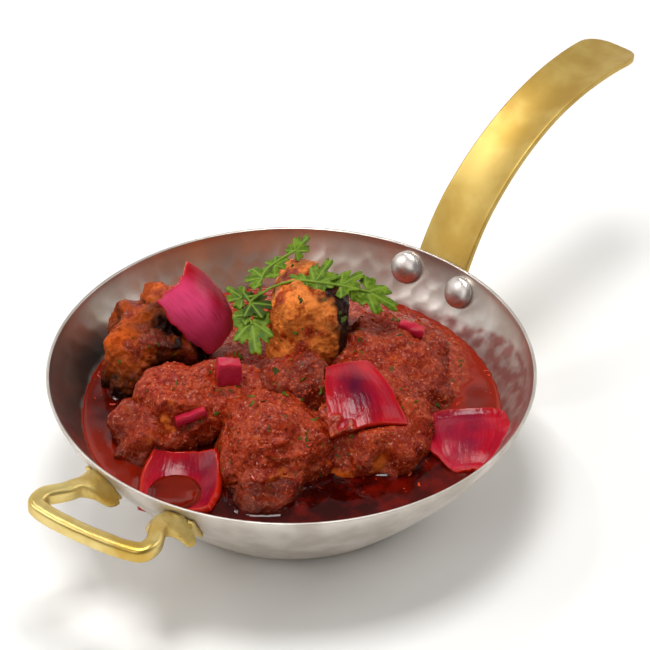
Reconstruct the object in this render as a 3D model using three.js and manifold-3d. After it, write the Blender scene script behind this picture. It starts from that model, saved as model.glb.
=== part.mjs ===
// Chicken curry served in a small hammered steel pan with a long brass handle and a brass helper handle.
// Millimetres, +Z up. The origin is the centre of the pan's flat base, on the surface it stands on,
// and the long handle points along +X.

import * as THREE from 'three';
import { mergeVertices } from 'three/addons/utils/BufferGeometryUtils.js';
import Module from 'manifold-3d';

const wasm = await Module();
wasm.setup();

// ---- driving dimensions ---------------------------------------------------------------------------

const GAP = 0.35; // clear space between pieces that touch
const CUT_TOLERANCE = 0.04; // edges shorter than this are closed up after a cut
const RIVET_SEAT = 0.85; // a flat rivet head clears the curved wall by this much at its middle

const PAN = {
  rimRadius: 90, // outside, an 18 cm serving pan
  height: 50,
  baseRadius: 49.1, // where the wall's curve would meet the floor
  wallPower: 1.33, // how the wall's slope grows towards the base
  flatRadius: 44.4, // flat part of the base
  cornerRadius: 12,
  cornerTurn: 42, // degrees of arc between the flat base and the wall
  wall: 1.2,
  rimEase: 0.3,
  segments: 40,
  wallSteps: 5,
};

const LONG_HANDLE = {
  foot: { low: 30, high: 46.5, halfWidth: 21, thick: 2.5 },
  bendStart: [91.9, 48],
  bendLift: [112, 76],
  bendReach: [150, 98],
  tip: [201.5, 86],
  thick: 3.4,
  trough: 2.4, // how far the middle of the top face lies below its edges
  troughStart: 0.05, // share of the length where the trough begins
  troughFull: 0.3, // and where it has its full depth
  rootWidth: 22.4,
  waistWidth: 21.2,
  waistAt: 0.55, // share of the length where the strip is narrowest
  widenedOver: 0.4, // share of the length in which it widens again
  tipWidth: 22.8,
  tipRound: 15,
  tipFlat: 0.25, // share of the width that ends square
  square: 7, // squareness of the strip's section, 2 is round
  length: 168,
  footSink: 1, // how far the strip's middle lies below the foot's own heights
  steps: 18,
  sides: 8,
};

const HELPER = {
  footSpread: 18, // half the distance between the two feet
  outerSpread: 24.5, // half the distance between the two arms at the bar
  reach: 117.4, // from the pan's axis to the middle of the bar
  bow: 1.2,
  twist: 4.5, // degrees that the hand-set loop is turned from square, seen from above
  barHeight: 49,
  barHalf: 3.15, // half the bar's rounded-square section
  hoodHalfWidth: 9.5, // the hood that spreads over each rivet
  hoodTop: 46.8,
  hoodDrop: 8,
  hoodHalfThick: 1.6,
  hoodLength: 13,
  hoodFlat: 2, // the first part of the hood that keeps its full width
  hoodFade: 3, // how far past its length the hood blends into the bar
  square: 3.2, // squareness of the bar's section
  length: 120,
  foot: { low: 33.6, high: 45, halfWidth: 5.8, thick: 2 },
  steps: 24,
  sides: 8,
};

const HANDLE_RIVET = { spread: 13.5, height: 42, shank: 2.3, head: 6, dome: 3.5, brim: 0.9, outer: 4.6 };
const HELPER_RIVET = { spread: 18, height: 38, shank: 1.8, head: 4, dome: 1.4, brim: 0.5, outer: 3 };
const RIVET_SEGMENTS = 10;
// The outer head's flat share of its radius, and the heights of its edge and middle.
const RIVET_CROWN = { flat: 0.8, edgeRise: 1, rise: 1.4 };
const HOLE_START = -4; // a rivet's bore runs from inside the wall
const HOLE_ROOM = 10; // to well past its outer head
const HANDLE_ROOM = 20; // height above the rim in which handles are kept clear of the pan
const PLATE_BITE = 1; // how far a foot plate reaches into the wall before it is cut back

const OIL_LEVEL = 30.5;
const SERVING_TURN = THREE.MathUtils.degToRad(-51); // the food's own left-right axis, about Z

// Thick sauce stands in soft mounds above the oil: centre [x, y], spread [x, y] and height.
const SAUCE_MOUNDS = [
  { at: [4, 8], spread: [34, 28], rise: 11 },
  { at: [-12, 58], spread: [34, 17], rise: 6 },
  { at: [34, 34], spread: [28, 24], rise: 9 },
  { at: [-16, 24], spread: [16, 20], rise: 6 },
];
const SAUCE_SKIN = 1.6; // mound height that lies drowned in the oil
const SAUCE_CELLS = 12;
const SAUCE_FLOOR = -5; // the block that the sauce is cut from reaches below the pan's base

// Pieces of chicken: centre, half sizes, turn about the three axes in degrees, squareness (2 is round),
// knobs [direction, height, sharpness] and the seed of the uneven surface.
const CHICKEN = [
  {
    name: 'chicken_back', at: [5.5, 28.5, 49], half: [14, 16, 18], turn: [-14, 4, -4], square: 3.6, seed: 1,
    knobs: [[[-0.25, 0.55, 0.85], 0.3, 9], [[0.7, 0.5, 0.1], 0.12, 6]],
  },
  {
    name: 'chicken_left', at: [-48, 30.5, 38.5], half: [16.5, 16, 17.5], turn: [6, -8, 12],
    square: 2.9, seed: 2,
    knobs: [[[-0.8, -0.5, 0.0], 0.3, 9], [[0.3, -0.8, -0.4], 0.18, 8], [[0.3, 0.5, 0.8], 0.16, 6]],
  },
  {
    name: 'chicken_knuckle', at: [-60, 14, 31.5], half: [7.5, 7, 8.5], turn: [0, 12, 0],
    square: 2.3, seed: 3,
    knobs: [[[-0.5, -0.6, 0.3], 0.15, 6]],
  },
  {
    name: 'chicken_front', at: [-7, -27.5, 34], half: [21, 20, 18.5], turn: [12, -3, 8],
    square: 2.7, seed: 4,
    knobs: [[[0.9, -0.35, 0.0], 0.14, 8], [[-0.5, -0.5, 0.2], 0.1, 7], [[-0.2, 0.6, 0.7], 0.1, 5]],
  },
  {
    name: 'chicken_tip', at: [-10, -48, 28], half: [12, 14.5, 9], turn: [14, 0, -6], square: 2.5, seed: 5,
    knobs: [[[-0.7, 0.1, 0.3], 0.16, 6], [[0.8, -0.3, 0.4], 0.1, 6]],
  },
  {
    name: 'chicken_ridge', at: [-33.5, -6, 40], half: [20.5, 13, 11], turn: [8, 6, 14], square: 2.6, seed: 6,
    knobs: [[[-0.9, 0.3, 0.6], 0.26, 8], [[0.7, 0.2, 0.6], 0.15, 6]],
  },
  {
    name: 'chicken_shelf', at: [-51.5, -19, 30], half: [14, 12, 12], turn: [8, -6, -10],
    square: 2.6, seed: 7,
    knobs: [[[-0.5, 0.5, 0.6], 0.18, 6]],
  },
  {
    name: 'chicken_right', at: [31, -16, 33], half: [20, 19.5, 16], turn: [16, 8, -12], square: 2.7, seed: 8,
    knobs: [[[0.0, -0.8, -0.1], 0.16, 9], [[-0.7, -0.3, 0.6], 0.14, 6]],
  },
  {
    name: 'chicken_middle', at: [-1, -1, 39], half: [17, 12, 12], turn: [10, -6, 8], square: 2.4, seed: 9,
    knobs: [[[0.5, -0.3, 0.7], 0.15, 6]],
  },
  {
    name: 'chicken_slope', at: [37, 20, 31], half: [23, 28, 15], turn: [4, 14, 12], square: 2.3, seed: 10,
    knobs: [[[0.6, 0.4, 0.7], 0.1, 5], [[-0.7, 0.2, 0.7], 0.16, 5]],
  },
];
const LUMP_DETAIL = { chicken: 2, offcut: 1 };
const LUMP_SWAY = 0.07; // unevenness of a piece's surface, as a share of its size

// Onion petals: middle of the curved face, widths of the near and far ends and how much the sides belly
// out between them, length, bend radii (negative cups upwards) and turn in degrees.
const ONION = [
  {
    name: 'onion_standing', at: [-31.5, 26, 56.5], ends: [11, 20], belly: 9, length: 33, bend: [15, 25],
    turn: [60, 34, 42], thick: 2.8,
  },
  {
    name: 'onion_top', at: [24.5, -15, 52], ends: [30, 15], belly: 2, length: 32, bend: [30, 38],
    turn: [10, 4, 16], thick: 3,
  },
  {
    name: 'onion_floating', at: [64.5, -21.5, 34.5], ends: [8, 25], belly: 13, length: 31, bend: [46, 60],
    turn: [5, -3, -2], thick: 3.2,
  },
  {
    name: 'onion_cup', at: [-39.5, -43, 28], ends: [27, 24], belly: 6, length: 31, bend: [-26, -30],
    turn: [10, -5, -6], thick: 2.8,
  },
];
const PETAL_STEPS = { across: 5, along: 5 };

// Small offcuts of onion: middle, half sizes, turn in degrees and squareness.
const OFFCUTS = [
  { name: 'onion_cube', at: [-23, -5.5, 53], half: [4.5, 3.6, 4.4], turn: [-10, 6, 8], square: 5 },
  { name: 'onion_sliver_front', at: [-36.5, -21, 44.5], half: [6, 1.8, 1.7], turn: [0, -14, 14], square: 3 },
  { name: 'onion_sliver_right', at: [44.5, 29.5, 46.5], half: [5, 2.2, 1.8], turn: [0, 12, -16], square: 3 },
];

// ---- small tools for shapes -----------------------------------------------------------------------

function clean(geometry) {
  geometry.deleteAttribute('normal');
  geometry.deleteAttribute('uv');
  return mergeVertices(geometry, 1e-4);
}

function toSolid(geometry) {
  const merged = clean(geometry);
  const mesh = new wasm.Mesh({
    numProp: 3,
    vertProperties: new Float32Array(merged.attributes.position.array),
    triVerts: new Uint32Array(merged.index.array),
  });
  return new wasm.Manifold(mesh);
}

// Keeps the largest closed body that cuts leave, without edges shorter than the tolerance.
function biggestBody(solid) {
  const bodies = solid.simplify(CUT_TOLERANCE).decompose();
  bodies.sort((a, b) => b.volume() - a.volume());
  return bodies[0];
}

function toGeometry(solid) {
  const mesh = solid.getMesh();
  const geometry = new THREE.BufferGeometry();
  const points = new Float32Array(mesh.numVert * 3);
  for (let i = 0; i < mesh.numVert; i += 1) {
    for (let k = 0; k < 3; k += 1) {
      points[i * 3 + k] = mesh.vertProperties[i * mesh.numProp + k];
    }
  }
  geometry.setAttribute('position', new THREE.BufferAttribute(points, 3));
  geometry.setIndex(new THREE.BufferAttribute(new Uint32Array(mesh.triVerts), 1));
  geometry.computeVertexNormals();
  return geometry;
}

// Moves every point of a geometry by a function of its place.
function warp(geometry, place) {
  const points = geometry.attributes.position;
  const from = new THREE.Vector3();
  for (let i = 0; i < points.count; i += 1) {
    from.fromBufferAttribute(points, i);
    const to = place(from);
    points.setXYZ(i, to.x, to.y, to.z);
  }
  return geometry;
}

// A closed solid of revolution about Z from [radius, height] pairs.
function spin(profile, segments) {
  const points = profile.map(([radius, height]) => new THREE.Vector2(radius, height));
  const geometry = new THREE.LatheGeometry(points, segments);
  geometry.rotateX(Math.PI / 2);
  return geometry;
}

// A closed bar along a path. The section is a function of the way along it (0 to 1) and gives its half
// width, half height, squareness and how far its edges sit above its middle.
function sweep(path, steps, sides, sectionAt) {
  const geometry = new THREE.CylinderGeometry(1, 1, 1, sides, steps);
  const upright = new THREE.Vector3(0, 0, 1);
  return warp(geometry, (p) => {
    const along = p.y + 0.5;
    const section = sectionAt(along);
    const middle = path.getPointAt(along);
    const forward = path.getTangentAt(along);
    const across = new THREE.Vector3().crossVectors(upright, forward);
    if (section.acrossY) {
      across.set(0, 1, 0);
    }
    across.normalize();
    const up = new THREE.Vector3().crossVectors(forward, across).normalize();
    const radius = Math.hypot(p.x, p.z);
    const side = radius > 0 ? rounded(p.z / radius, section.square) * radius : 0;
    const rise = radius > 0 ? rounded(p.x / radius, section.square) * radius : 0;
    middle.addScaledVector(across, section.halfWidth * side);
    return middle.addScaledVector(up, section.halfHeight * rise + section.edgeLift * side * side);
  });
}

// A cosine or sine pushed out towards a square section; 2 leaves it round.
function rounded(value, square) {
  return Math.abs(value) < 1e-6 ? 0 : Math.sign(value) * Math.abs(value) ** (2 / square);
}

function turnOf(degrees) {
  const [x, y, z] = degrees.map(THREE.MathUtils.degToRad);
  return new THREE.Euler(x, y, z);
}

function blend(a, b, t) {
  const eased = THREE.MathUtils.smoothstep(t, 0, 1);
  return a + (b - a) * eased;
}

// ---- pan ------------------------------------------------------------------------------------------

// Outside radius of the pan's wall at a height above its base.
function wallRadius(z) {
  const depth = Math.max(0, PAN.height - z) / PAN.height;
  return PAN.baseRadius + (PAN.rimRadius - PAN.baseRadius) * (1 - depth ** PAN.wallPower);
}

// Angle of the wall's outward normal below the horizontal.
function wallLean(z) {
  const step = 0.5;
  return Math.atan2(wallRadius(z + step) - wallRadius(z - step), 2 * step);
}

// The pan's outer outline from the axis to the rim, moved inwards by an offset.
function panOutline(offset) {
  const outline = [[0, offset]];
  const arcSteps = 3;
  for (let i = 0; i <= arcSteps; i += 1) {
    const turn = THREE.MathUtils.degToRad((PAN.cornerTurn * i) / arcSteps);
    const reach = PAN.cornerRadius - offset;
    outline.push([PAN.flatRadius + reach * Math.sin(turn), PAN.cornerRadius - reach * Math.cos(turn)]);
  }
  const wallStart = outline[outline.length - 1][1] + 3;
  for (let i = 0; i < PAN.wallSteps; i += 1) {
    const z = wallStart + ((PAN.height - PAN.rimEase - wallStart) * i) / (PAN.wallSteps - 1);
    outline.push([wallRadius(z) - offset / Math.cos(wallLean(z)), z]);
  }
  return outline;
}

function panBody() {
  const outside = panOutline(0);
  const inside = panOutline(PAN.wall).reverse();
  const rim = [
    [PAN.rimRadius - PAN.rimEase, PAN.height],
    [inside[0][0] + PAN.rimEase, PAN.height],
  ];
  return toSolid(spin([...outside, ...rim, ...inside], PAN.segments));
}

// Everything inside a surface that lies the given offset in from the pan's outside, open to above.
function hollow(offset, top) {
  const outline = panOutline(offset);
  const edge = outline[outline.length - 1][0];
  return toSolid(spin([...outline, [edge, top], [0, top]], PAN.segments));
}

// A plate lying on the wall at an angle about the pan's axis. Its inner side reaches into the wall, and
// is cut away with the rest of the handle.
function wallPlate(foot, angle) {
  const geometry = new THREE.BoxGeometry(1, 1, 1, 1, 6, 3);
  return toSolid(warp(geometry, (p) => {
    const z = foot.low + (foot.high - foot.low) * (p.z + 0.5);
    const lean = wallLean(z);
    const out = GAP - PLATE_BITE + (foot.thick + PLATE_BITE) * (p.x + 0.5);
    const radius = wallRadius(z) + out * Math.cos(lean);
    const turn = angle + (p.y * 2 * foot.halfWidth) / PAN.rimRadius;
    return new THREE.Vector3(radius * Math.cos(turn), radius * Math.sin(turn), z - out * Math.sin(lean));
  }));
}

// A solid of revolution whose axis runs through the wall, outwards, at a place on it.
function throughWall(profile, x, y, z, segments) {
  const lean = wallLean(z);
  const angle = Math.atan2(y, x);
  const geometry = spin(profile, segments);
  const out = new THREE.Vector3(Math.cos(lean), 0, -Math.sin(lean));
  out.applyAxisAngle(new THREE.Vector3(0, 0, 1), angle);
  const turn = new THREE.Quaternion().setFromUnitVectors(new THREE.Vector3(0, 0, 1), out);
  geometry.applyQuaternion(turn);
  const radius = wallRadius(z);
  geometry.translate(Math.cos(angle) * radius, Math.sin(angle) * radius, z);
  return toSolid(geometry);
}

// Inner dome, shank and outer head, measured along the rivet's axis from the wall's outside.
function rivetProfile(rivet, plateThick) {
  const seat = -PAN.wall - RIVET_SEAT;
  const profile = [[0, seat - rivet.dome]];
  const domeSteps = 3;
  for (let i = 1; i <= domeSteps; i += 1) {
    const turn = (Math.PI / 2) * (i / domeSteps);
    const rise = (rivet.dome - rivet.brim) * Math.cos(turn);
    profile.push([rivet.head * Math.sin(turn), seat - rivet.brim - rise]);
  }
  const outerSeat = plateThick + 3 * GAP;
  profile.push([rivet.head, seat], [rivet.shank, seat], [rivet.shank, outerSeat]);
  profile.push([rivet.outer, outerSeat]);
  profile.push([rivet.outer * RIVET_CROWN.flat, outerSeat + RIVET_CROWN.edgeRise]);
  profile.push([0, outerSeat + RIVET_CROWN.rise]);
  return profile;
}

function rivetBody(rivet, plateThick, side, x) {
  const y = rivet.spread * side;
  return throughWall(rivetProfile(rivet, plateThick), x, y, rivet.height, RIVET_SEGMENTS);
}

// The bore for a rivet, with room for its outer head above the plate.
function rivetHole(rivet, plateThick, side, x) {
  const bore = rivet.shank + GAP;
  const room = rivet.outer + GAP;
  const seat = plateThick + 2 * GAP;
  const end = seat + HOLE_ROOM;
  const profile = [[0, HOLE_START], [bore, HOLE_START], [bore, seat], [room, seat], [room, end], [0, end]];
  return throughWall(profile, x, rivet.spread * side, rivet.height, RIVET_SEGMENTS);
}

// ---- handles --------------------------------------------------------------------------------------

function longHandlePath() {
  const { bendStart, bendLift, bendReach, tip, foot, footSink, thick } = LONG_HANDLE;
  const points = [];
  for (const z of [foot.low + 3, (foot.low + foot.high) / 2]) {
    points.push(new THREE.Vector3(wallRadius(z) + GAP + thick / 2, 0, z - footSink));
  }
  const corners = [bendStart, bendLift, bendReach, tip].map(([x, z]) => new THREE.Vector3(x, 0, z));
  points.push(...new THREE.CubicBezierCurve3(...corners).getPoints(10));
  return new THREE.CatmullRomCurve3(points);
}

// Share of its full width that the strip has part of the way along; it rounds off towards the tip.
function longHandleNose(along) {
  const { length, tipRound, tipFlat } = LONG_HANDLE;
  const fromTip = Math.min(1, ((1 - along) * length) / tipRound);
  return tipFlat + (1 - tipFlat) * Math.sqrt(1 - (1 - fromTip) ** 2);
}

function longHandleSection(along) {
  const { rootWidth, waistWidth, tipWidth, waistAt, widenedOver, thick, square } = LONG_HANDLE;
  const body = along < waistAt
    ? blend(rootWidth, waistWidth, along / waistAt)
    : blend(waistWidth, tipWidth, (along - waistAt) / widenedOver);
  const nose = longHandleNose(along);
  const { trough, troughStart, troughFull } = LONG_HANDLE;
  return {
    acrossY: true,
    halfWidth: (body / 2) * nose,
    halfHeight: thick / 2,
    square,
    edgeLift: trough * THREE.MathUtils.smoothstep(along, troughStart, troughFull) * nose ** 2,
  };
}

function longHandleBody(clearOfPan) {
  const { steps, sides, foot } = LONG_HANDLE;
  const strip = toSolid(sweep(longHandlePath(), steps, sides, longHandleSection));
  let body = strip.add(wallPlate(foot, 0)).subtract(clearOfPan);
  for (const side of [-1, 1]) {
    body = body.subtract(rivetHole(HANDLE_RIVET, foot.thick, side, PAN.rimRadius));
  }
  return biggestBody(body);
}

function helperPath() {
  const { footSpread, outerSpread, reach, bow, twist, barHeight, hoodTop, hoodHalfThick } = HELPER;
  const footX = wallRadius(hoodTop) - 3;
  const hoodMiddle = hoodTop - hoodHalfThick;
  const feet = [
    [footX, footSpread, hoodMiddle],
    [footX + 6, footSpread, hoodMiddle + 0.6],
  ];
  const loop = [
    [footX + 15, footSpread + 1.6, barHeight - 1.4],
    [reach - 7, outerSpread - 0.5, barHeight],
    [reach - 2, outerSpread - 1.4, barHeight],
    [reach, outerSpread - 7, barHeight],
    [reach + bow, 0, barHeight],
  ];
  const mirrored = (points) => points.map(([x, y, z]) => [x, -y, z]).reverse();
  const turn = THREE.MathUtils.degToRad(twist);
  const loopPoints = [...loop, ...mirrored(loop).slice(1)].map(([x, y, z]) => {
    const out = x - footX;
    const turnedX = footX + out * Math.cos(turn) + y * Math.sin(turn);
    return [turnedX, y * Math.cos(turn) - out * Math.sin(turn), z];
  });
  const points = [...feet, ...loopPoints, ...mirrored(feet)].map(([x, y, z]) => new THREE.Vector3(-x, y, z));
  return new THREE.CatmullRomCurve3(points, false, 'centripetal');
}

function helperSection(along) {
  const { barHalf, hoodHalfWidth, hoodDrop, hoodHalfThick, hoodLength, hoodFlat, hoodFade } = HELPER;
  const fromFoot = Math.min(along, 1 - along) * HELPER.length;
  const spread = 1 - THREE.MathUtils.smoothstep(fromFoot, hoodFlat, hoodLength + hoodFade);
  return {
    halfWidth: barHalf + (hoodHalfWidth - barHalf) * spread,
    halfHeight: barHalf + (hoodHalfThick - barHalf) * spread,
    square: HELPER.square,
    edgeLift: -hoodDrop * spread,
  };
}

function helperBody(clearOfPan) {
  const { steps, sides, foot, footSpread } = HELPER;
  let body = toSolid(sweep(helperPath(), steps, sides, helperSection));
  for (const side of [-1, 1]) {
    const angle = Math.PI - Math.asin((side * footSpread) / wallRadius(foot.low));
    body = body.add(wallPlate(foot, angle));
  }
  body = body.subtract(clearOfPan);
  for (const side of [-1, 1]) {
    body = body.subtract(rivetHole(HELPER_RIVET, foot.thick, side, -PAN.rimRadius));
  }
  return biggestBody(body);
}

// ---- food -----------------------------------------------------------------------------------------

// Smooth uneven value between about -1 and 1 for a direction, different for each seed.
function uneven(d, seed) {
  let sum = 0;
  for (let i = 1; i <= 3; i += 1) {
    const phase = seed * 2.4 + i * 1.7;
    sum += Math.sin(d.x * 3.1 * i + phase) * Math.cos(d.y * 2.7 * i - phase) * (1 / i);
    sum += Math.sin(d.z * 2.9 * i + phase * 1.3) * (0.5 / i);
  }
  return sum / 2;
}

// Distance from the middle to the surface of a rounded block of half size 1, in a direction.
function blockReach(d, square) {
  return (Math.abs(d.x) ** square + Math.abs(d.y) ** square + Math.abs(d.z) ** square) ** (-1 / square);
}

function chickenSolid(piece, grow) {
  const rotation = turnOf(piece.turn);
  const middle = new THREE.Vector3(...piece.at);
  const geometry = new THREE.IcosahedronGeometry(1, LUMP_DETAIL.chicken);
  warp(geometry, (p) => {
    const d = p.clone().normalize();
    let reach = blockReach(d, piece.square) * (1 + LUMP_SWAY * uneven(d, piece.seed));
    for (const [towards, height, sharpness] of piece.knobs) {
      const facing = d.dot(new THREE.Vector3(...towards).normalize());
      reach += height * Math.exp(sharpness * (facing - 1));
    }
    const point = new THREE.Vector3(...piece.half).multiply(d).multiplyScalar(reach);
    point.addScaledVector(d, grow);
    return point.applyEuler(rotation).add(middle);
  });
  return seated(geometry);
}

function petalSolid(petal, grow) {
  const { across, along } = PETAL_STEPS;
  const geometry = new THREE.BoxGeometry(1, 1, 1, across, along, 1);
  const rotation = turnOf(petal.turn);
  const middle = new THREE.Vector3(...petal.at);
  const [bendX, bendY] = petal.bend;
  warp(geometry, (p) => {
    const width = petal.ends[0] + (petal.ends[1] - petal.ends[0]) * (p.y + 0.5);
    const x = p.x * (width + petal.belly * (1 - 4 * p.y * p.y) + 2 * grow);
    const y = p.y * (petal.length + 2 * grow);
    const z = p.z * (petal.thick + 2 * grow);
    const leanX = x / bendX;
    const leanY = y / bendY;
    const point = new THREE.Vector3(
      (bendX + z) * Math.sin(leanX),
      (bendY + z) * Math.sin(leanY),
      z - (bendX + z) * (1 - Math.cos(leanX)) - (bendY + z) * (1 - Math.cos(leanY)),
    );
    return point.applyEuler(rotation).add(middle);
  });
  return seated(geometry);
}

function offcutSolid(piece, grow) {
  const geometry = new THREE.IcosahedronGeometry(1, LUMP_DETAIL.offcut);
  const rotation = turnOf(piece.turn);
  const middle = new THREE.Vector3(...piece.at);
  warp(geometry, (p) => {
    const d = p.clone().normalize();
    const point = new THREE.Vector3(...piece.half).addScalar(grow).multiply(d);
    return point.multiplyScalar(blockReach(d, piece.square)).applyEuler(rotation).add(middle);
  });
  return seated(geometry);
}

// Turns food from its own axes to the pan's.
function seated(geometry) {
  geometry.rotateZ(SERVING_TURN);
  return toSolid(geometry);
}

function sauceHeight(x, y) {
  let rise = -SAUCE_SKIN;
  for (const { at, spread, rise: peak } of SAUCE_MOUNDS) {
    rise += peak * Math.exp(-(((x - at[0]) / spread[0]) ** 2) - ((y - at[1]) / spread[1]) ** 2);
  }
  return OIL_LEVEL + Math.max(0, rise);
}

function sauceBlock() {
  const span = 2 * PAN.rimRadius;
  const geometry = new THREE.BoxGeometry(span, span, 1, SAUCE_CELLS, SAUCE_CELLS, 1);
  warp(geometry, (p) => {
    const z = p.z > 0 ? sauceHeight(p.x, p.y) : SAUCE_FLOOR;
    return new THREE.Vector3(p.x, p.y, z);
  });
  return seated(geometry);
}

// ---- coriander ------------------------------------------------------------------------------------

// The sprig's stems run through points; each leaf grows from its base towards its tip.
const SPRIG = {
  stemHalf: 0.55,
  leafThick: 0.7,
  facing: [0, -0.35, 0.94], // the way the leaves' upper sides look
  stems: [
    [[-19, 27, 62.5], [-12, 24.5, 66], [-7, 27.5, 67.3], [1.5, 29.5, 68.7], [11, 28.5, 68.5], [21.5, 29, 66],
      [29.5, 30.5, 62.5]],
    [[-12, 24.5, 66], [-10, 31, 71.5], [-4, 36.5, 73.5], [2, 41, 74.5]],
    [[-12, 24.5, 66], [-15, 23.5, 63.5], [-16, 19.5, 60.5], [-14.5, 16, 58.5]],
  ],
  leaves: [
    { base: [-10.6, 29.5, 70.3], tip: [-15, 36.5, 70], width: 11 },
    { base: [-6.5, 33.8, 72.8], tip: [-1.5, 37, 74.1], width: 6 },
    { base: [1.3, 40.4, 74.5], tip: [5.8, 44, 78.7], width: 7 },
    { base: [-18, 26.6, 62.9], tip: [-24, 33, 63.5], width: 8 },
    { base: [-15.9, 19.3, 60.5], tip: [-21, 25.5, 61.5], width: 7 },
    { base: [-15, 22.8, 63.3], tip: [-6.5, 23.5, 62.5], width: 10 },
    { base: [-14.7, 17.2, 59], tip: [-13, 4.5, 54.5], width: 13 },
    { base: [5.5, 29.2, 68.7], tip: [-0.5, 32, 69.9], width: 5 },
    { base: [8, 28.8, 68.6], tip: [9, 25, 66.3], width: 6 },
    { base: [8.5, 28.7, 68.6], tip: [14, 37.5, 72.5], width: 9 },
    { base: [9.5, 28.7, 68.6], tip: [17.5, 32, 69.9], width: 7 },
    { base: [18, 28.9, 67.1], tip: [26.5, 35.5, 68.5], width: 9 },
    { base: [22, 29.1, 65.9], tip: [27, 27, 62], width: 6 },
    { base: [28, 30.3, 63.3], tip: [39, 27.5, 58.5], width: 12 },
  ],
};

function stemSolid(points) {
  const path = new THREE.CatmullRomCurve3(points.map((p) => new THREE.Vector3(...p)));
  const section = () => ({ halfWidth: SPRIG.stemHalf, halfHeight: SPRIG.stemHalf, square: 2, edgeLift: 0 });
  return seated(sweep(path, points.length, 3, section));
}

// A leaflet whose half width swells and pinches into lobes along its length.
function leafSolid({ base, tip, width }) {
  const start = new THREE.Vector3(...base);
  const along = new THREE.Vector3(...tip).sub(start);
  const length = along.length();
  along.normalize();
  const across = new THREE.Vector3().crossVectors(along, new THREE.Vector3(...SPRIG.facing)).normalize();
  const out = new THREE.Vector3().crossVectors(across, along);
  const geometry = new THREE.BoxGeometry(1, 1, 1, 1, 4, 1);
  const rootReach = 0.4;
  warp(geometry, (p) => {
    const t = p.y + 0.5;
    const lobes = 0.72 - 0.28 * Math.cos(3 * Math.PI * t);
    const outline = 0.12 + 0.88 * Math.sqrt(Math.sin(Math.PI * (0.04 + 0.88 * t)));
    const point = start.clone().addScaledVector(along, t * (length + rootReach) - rootReach);
    point.addScaledVector(across, p.x * width * outline * lobes);
    return point.addScaledVector(out, p.z * SPRIG.leafThick - 0.06 * length * t * t);
  });
  return seated(geometry);
}

// The whole sprig, trimmed where it would sink into the chicken it lies on.
function sprigBody(chickenBelow) {
  const parts = [...SPRIG.stems.map(stemSolid), ...SPRIG.leaves.map(leafSolid)];
  return biggestBody(parts.reduce((body, part) => body.add(part)).subtract(chickenBelow));
}

// ---- assembly -------------------------------------------------------------------------------------

const STEEL = { color: 0xb8b0a4, roughness: 0.35, metalness: 1 };
const BRASS = { color: 0xdcb865, roughness: 0.3, metalness: 1 };
const SAUCE = { color: 0x9c4426, roughness: 0.35, metalness: 0 };
const MEAT = { color: 0xb0522f, roughness: 0.5, metalness: 0 };
const ONION_SKIN = { color: 0xa82848, roughness: 0.25, metalness: 0 };
const LEAF = { color: 0x7e8a2e, roughness: 0.5, metalness: 0 };

function named(name, solid, look) {
  const mesh = new THREE.Mesh(toGeometry(solid), new THREE.MeshStandardMaterial(look));
  mesh.name = name;
  return mesh;
}

function panGroup() {
  const group = new THREE.Group();
  const clearOfPan = hollow(-GAP, PAN.height + HANDLE_ROOM);
  let pan = panBody();
  const rivets = [];
  for (const [index, side] of [-1, 1].entries()) {
    pan = pan.subtract(rivetHole(HANDLE_RIVET, LONG_HANDLE.foot.thick, side, PAN.rimRadius));
    pan = pan.subtract(rivetHole(HELPER_RIVET, HELPER.foot.thick, side, -PAN.rimRadius));
    const handleRivet = rivetBody(HANDLE_RIVET, LONG_HANDLE.foot.thick, side, PAN.rimRadius);
    const helperRivet = rivetBody(HELPER_RIVET, HELPER.foot.thick, side, -PAN.rimRadius);
    rivets.push(named(`rivet_handle_${index + 1}`, handleRivet, STEEL));
    rivets.push(named(`rivet_helper_${index + 1}`, helperRivet, STEEL));
  }
  group.add(named('pan', pan, STEEL));
  group.add(named('handle_long', longHandleBody(clearOfPan), BRASS));
  group.add(named('handle_helper', helperBody(clearOfPan), BRASS));
  group.add(...rivets);
  return group;
}

function foodGroup() {
  const group = new THREE.Group();
  const room = hollow(PAN.wall + GAP, 2 * PAN.height);
  const pieceRoom = hollow(PAN.wall + 2 * GAP, 2 * PAN.height);
  const cutters = [];
  for (const petal of ONION) {
    const solid = cutters.reduce((body, cutter) => body.subtract(cutter), petalSolid(petal, 0));
    group.add(named(petal.name, biggestBody(solid.intersect(pieceRoom)), ONION_SKIN));
    cutters.push(petalSolid(petal, GAP));
  }
  for (const piece of OFFCUTS) {
    group.add(named(piece.name, offcutSolid(piece, 0), ONION_SKIN));
    cutters.push(offcutSolid(piece, GAP));
  }
  for (const piece of CHICKEN) {
    const solid = cutters.reduce((body, cutter) => body.subtract(cutter), chickenSolid(piece, 0));
    group.add(named(piece.name, biggestBody(solid.intersect(pieceRoom)), MEAT));
    cutters.push(chickenSolid(piece, GAP));
  }
  const sauce = cutters.reduce((body, cutter) => body.subtract(cutter), sauceBlock().intersect(room));
  group.add(named('gravy', biggestBody(sauce), SAUCE));
  group.add(named('coriander_sprig', sprigBody(chickenSolid(CHICKEN[0], GAP)), LEAF));
  return group;
}

const curry = new THREE.Group();
curry.add(panGroup(), foodGroup());

export default curry;
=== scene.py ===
"""Chicken curry in a hammered steel serving pan with brass handles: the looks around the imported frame."""

import logging
import math
from dataclasses import dataclass, field
from enum import Enum
from itertools import product
from typing import Callable

import bmesh
import bpy
import numpy as np
from mathutils import Matrix, Vector
from mathutils.bvhtree import BVHTree


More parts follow.
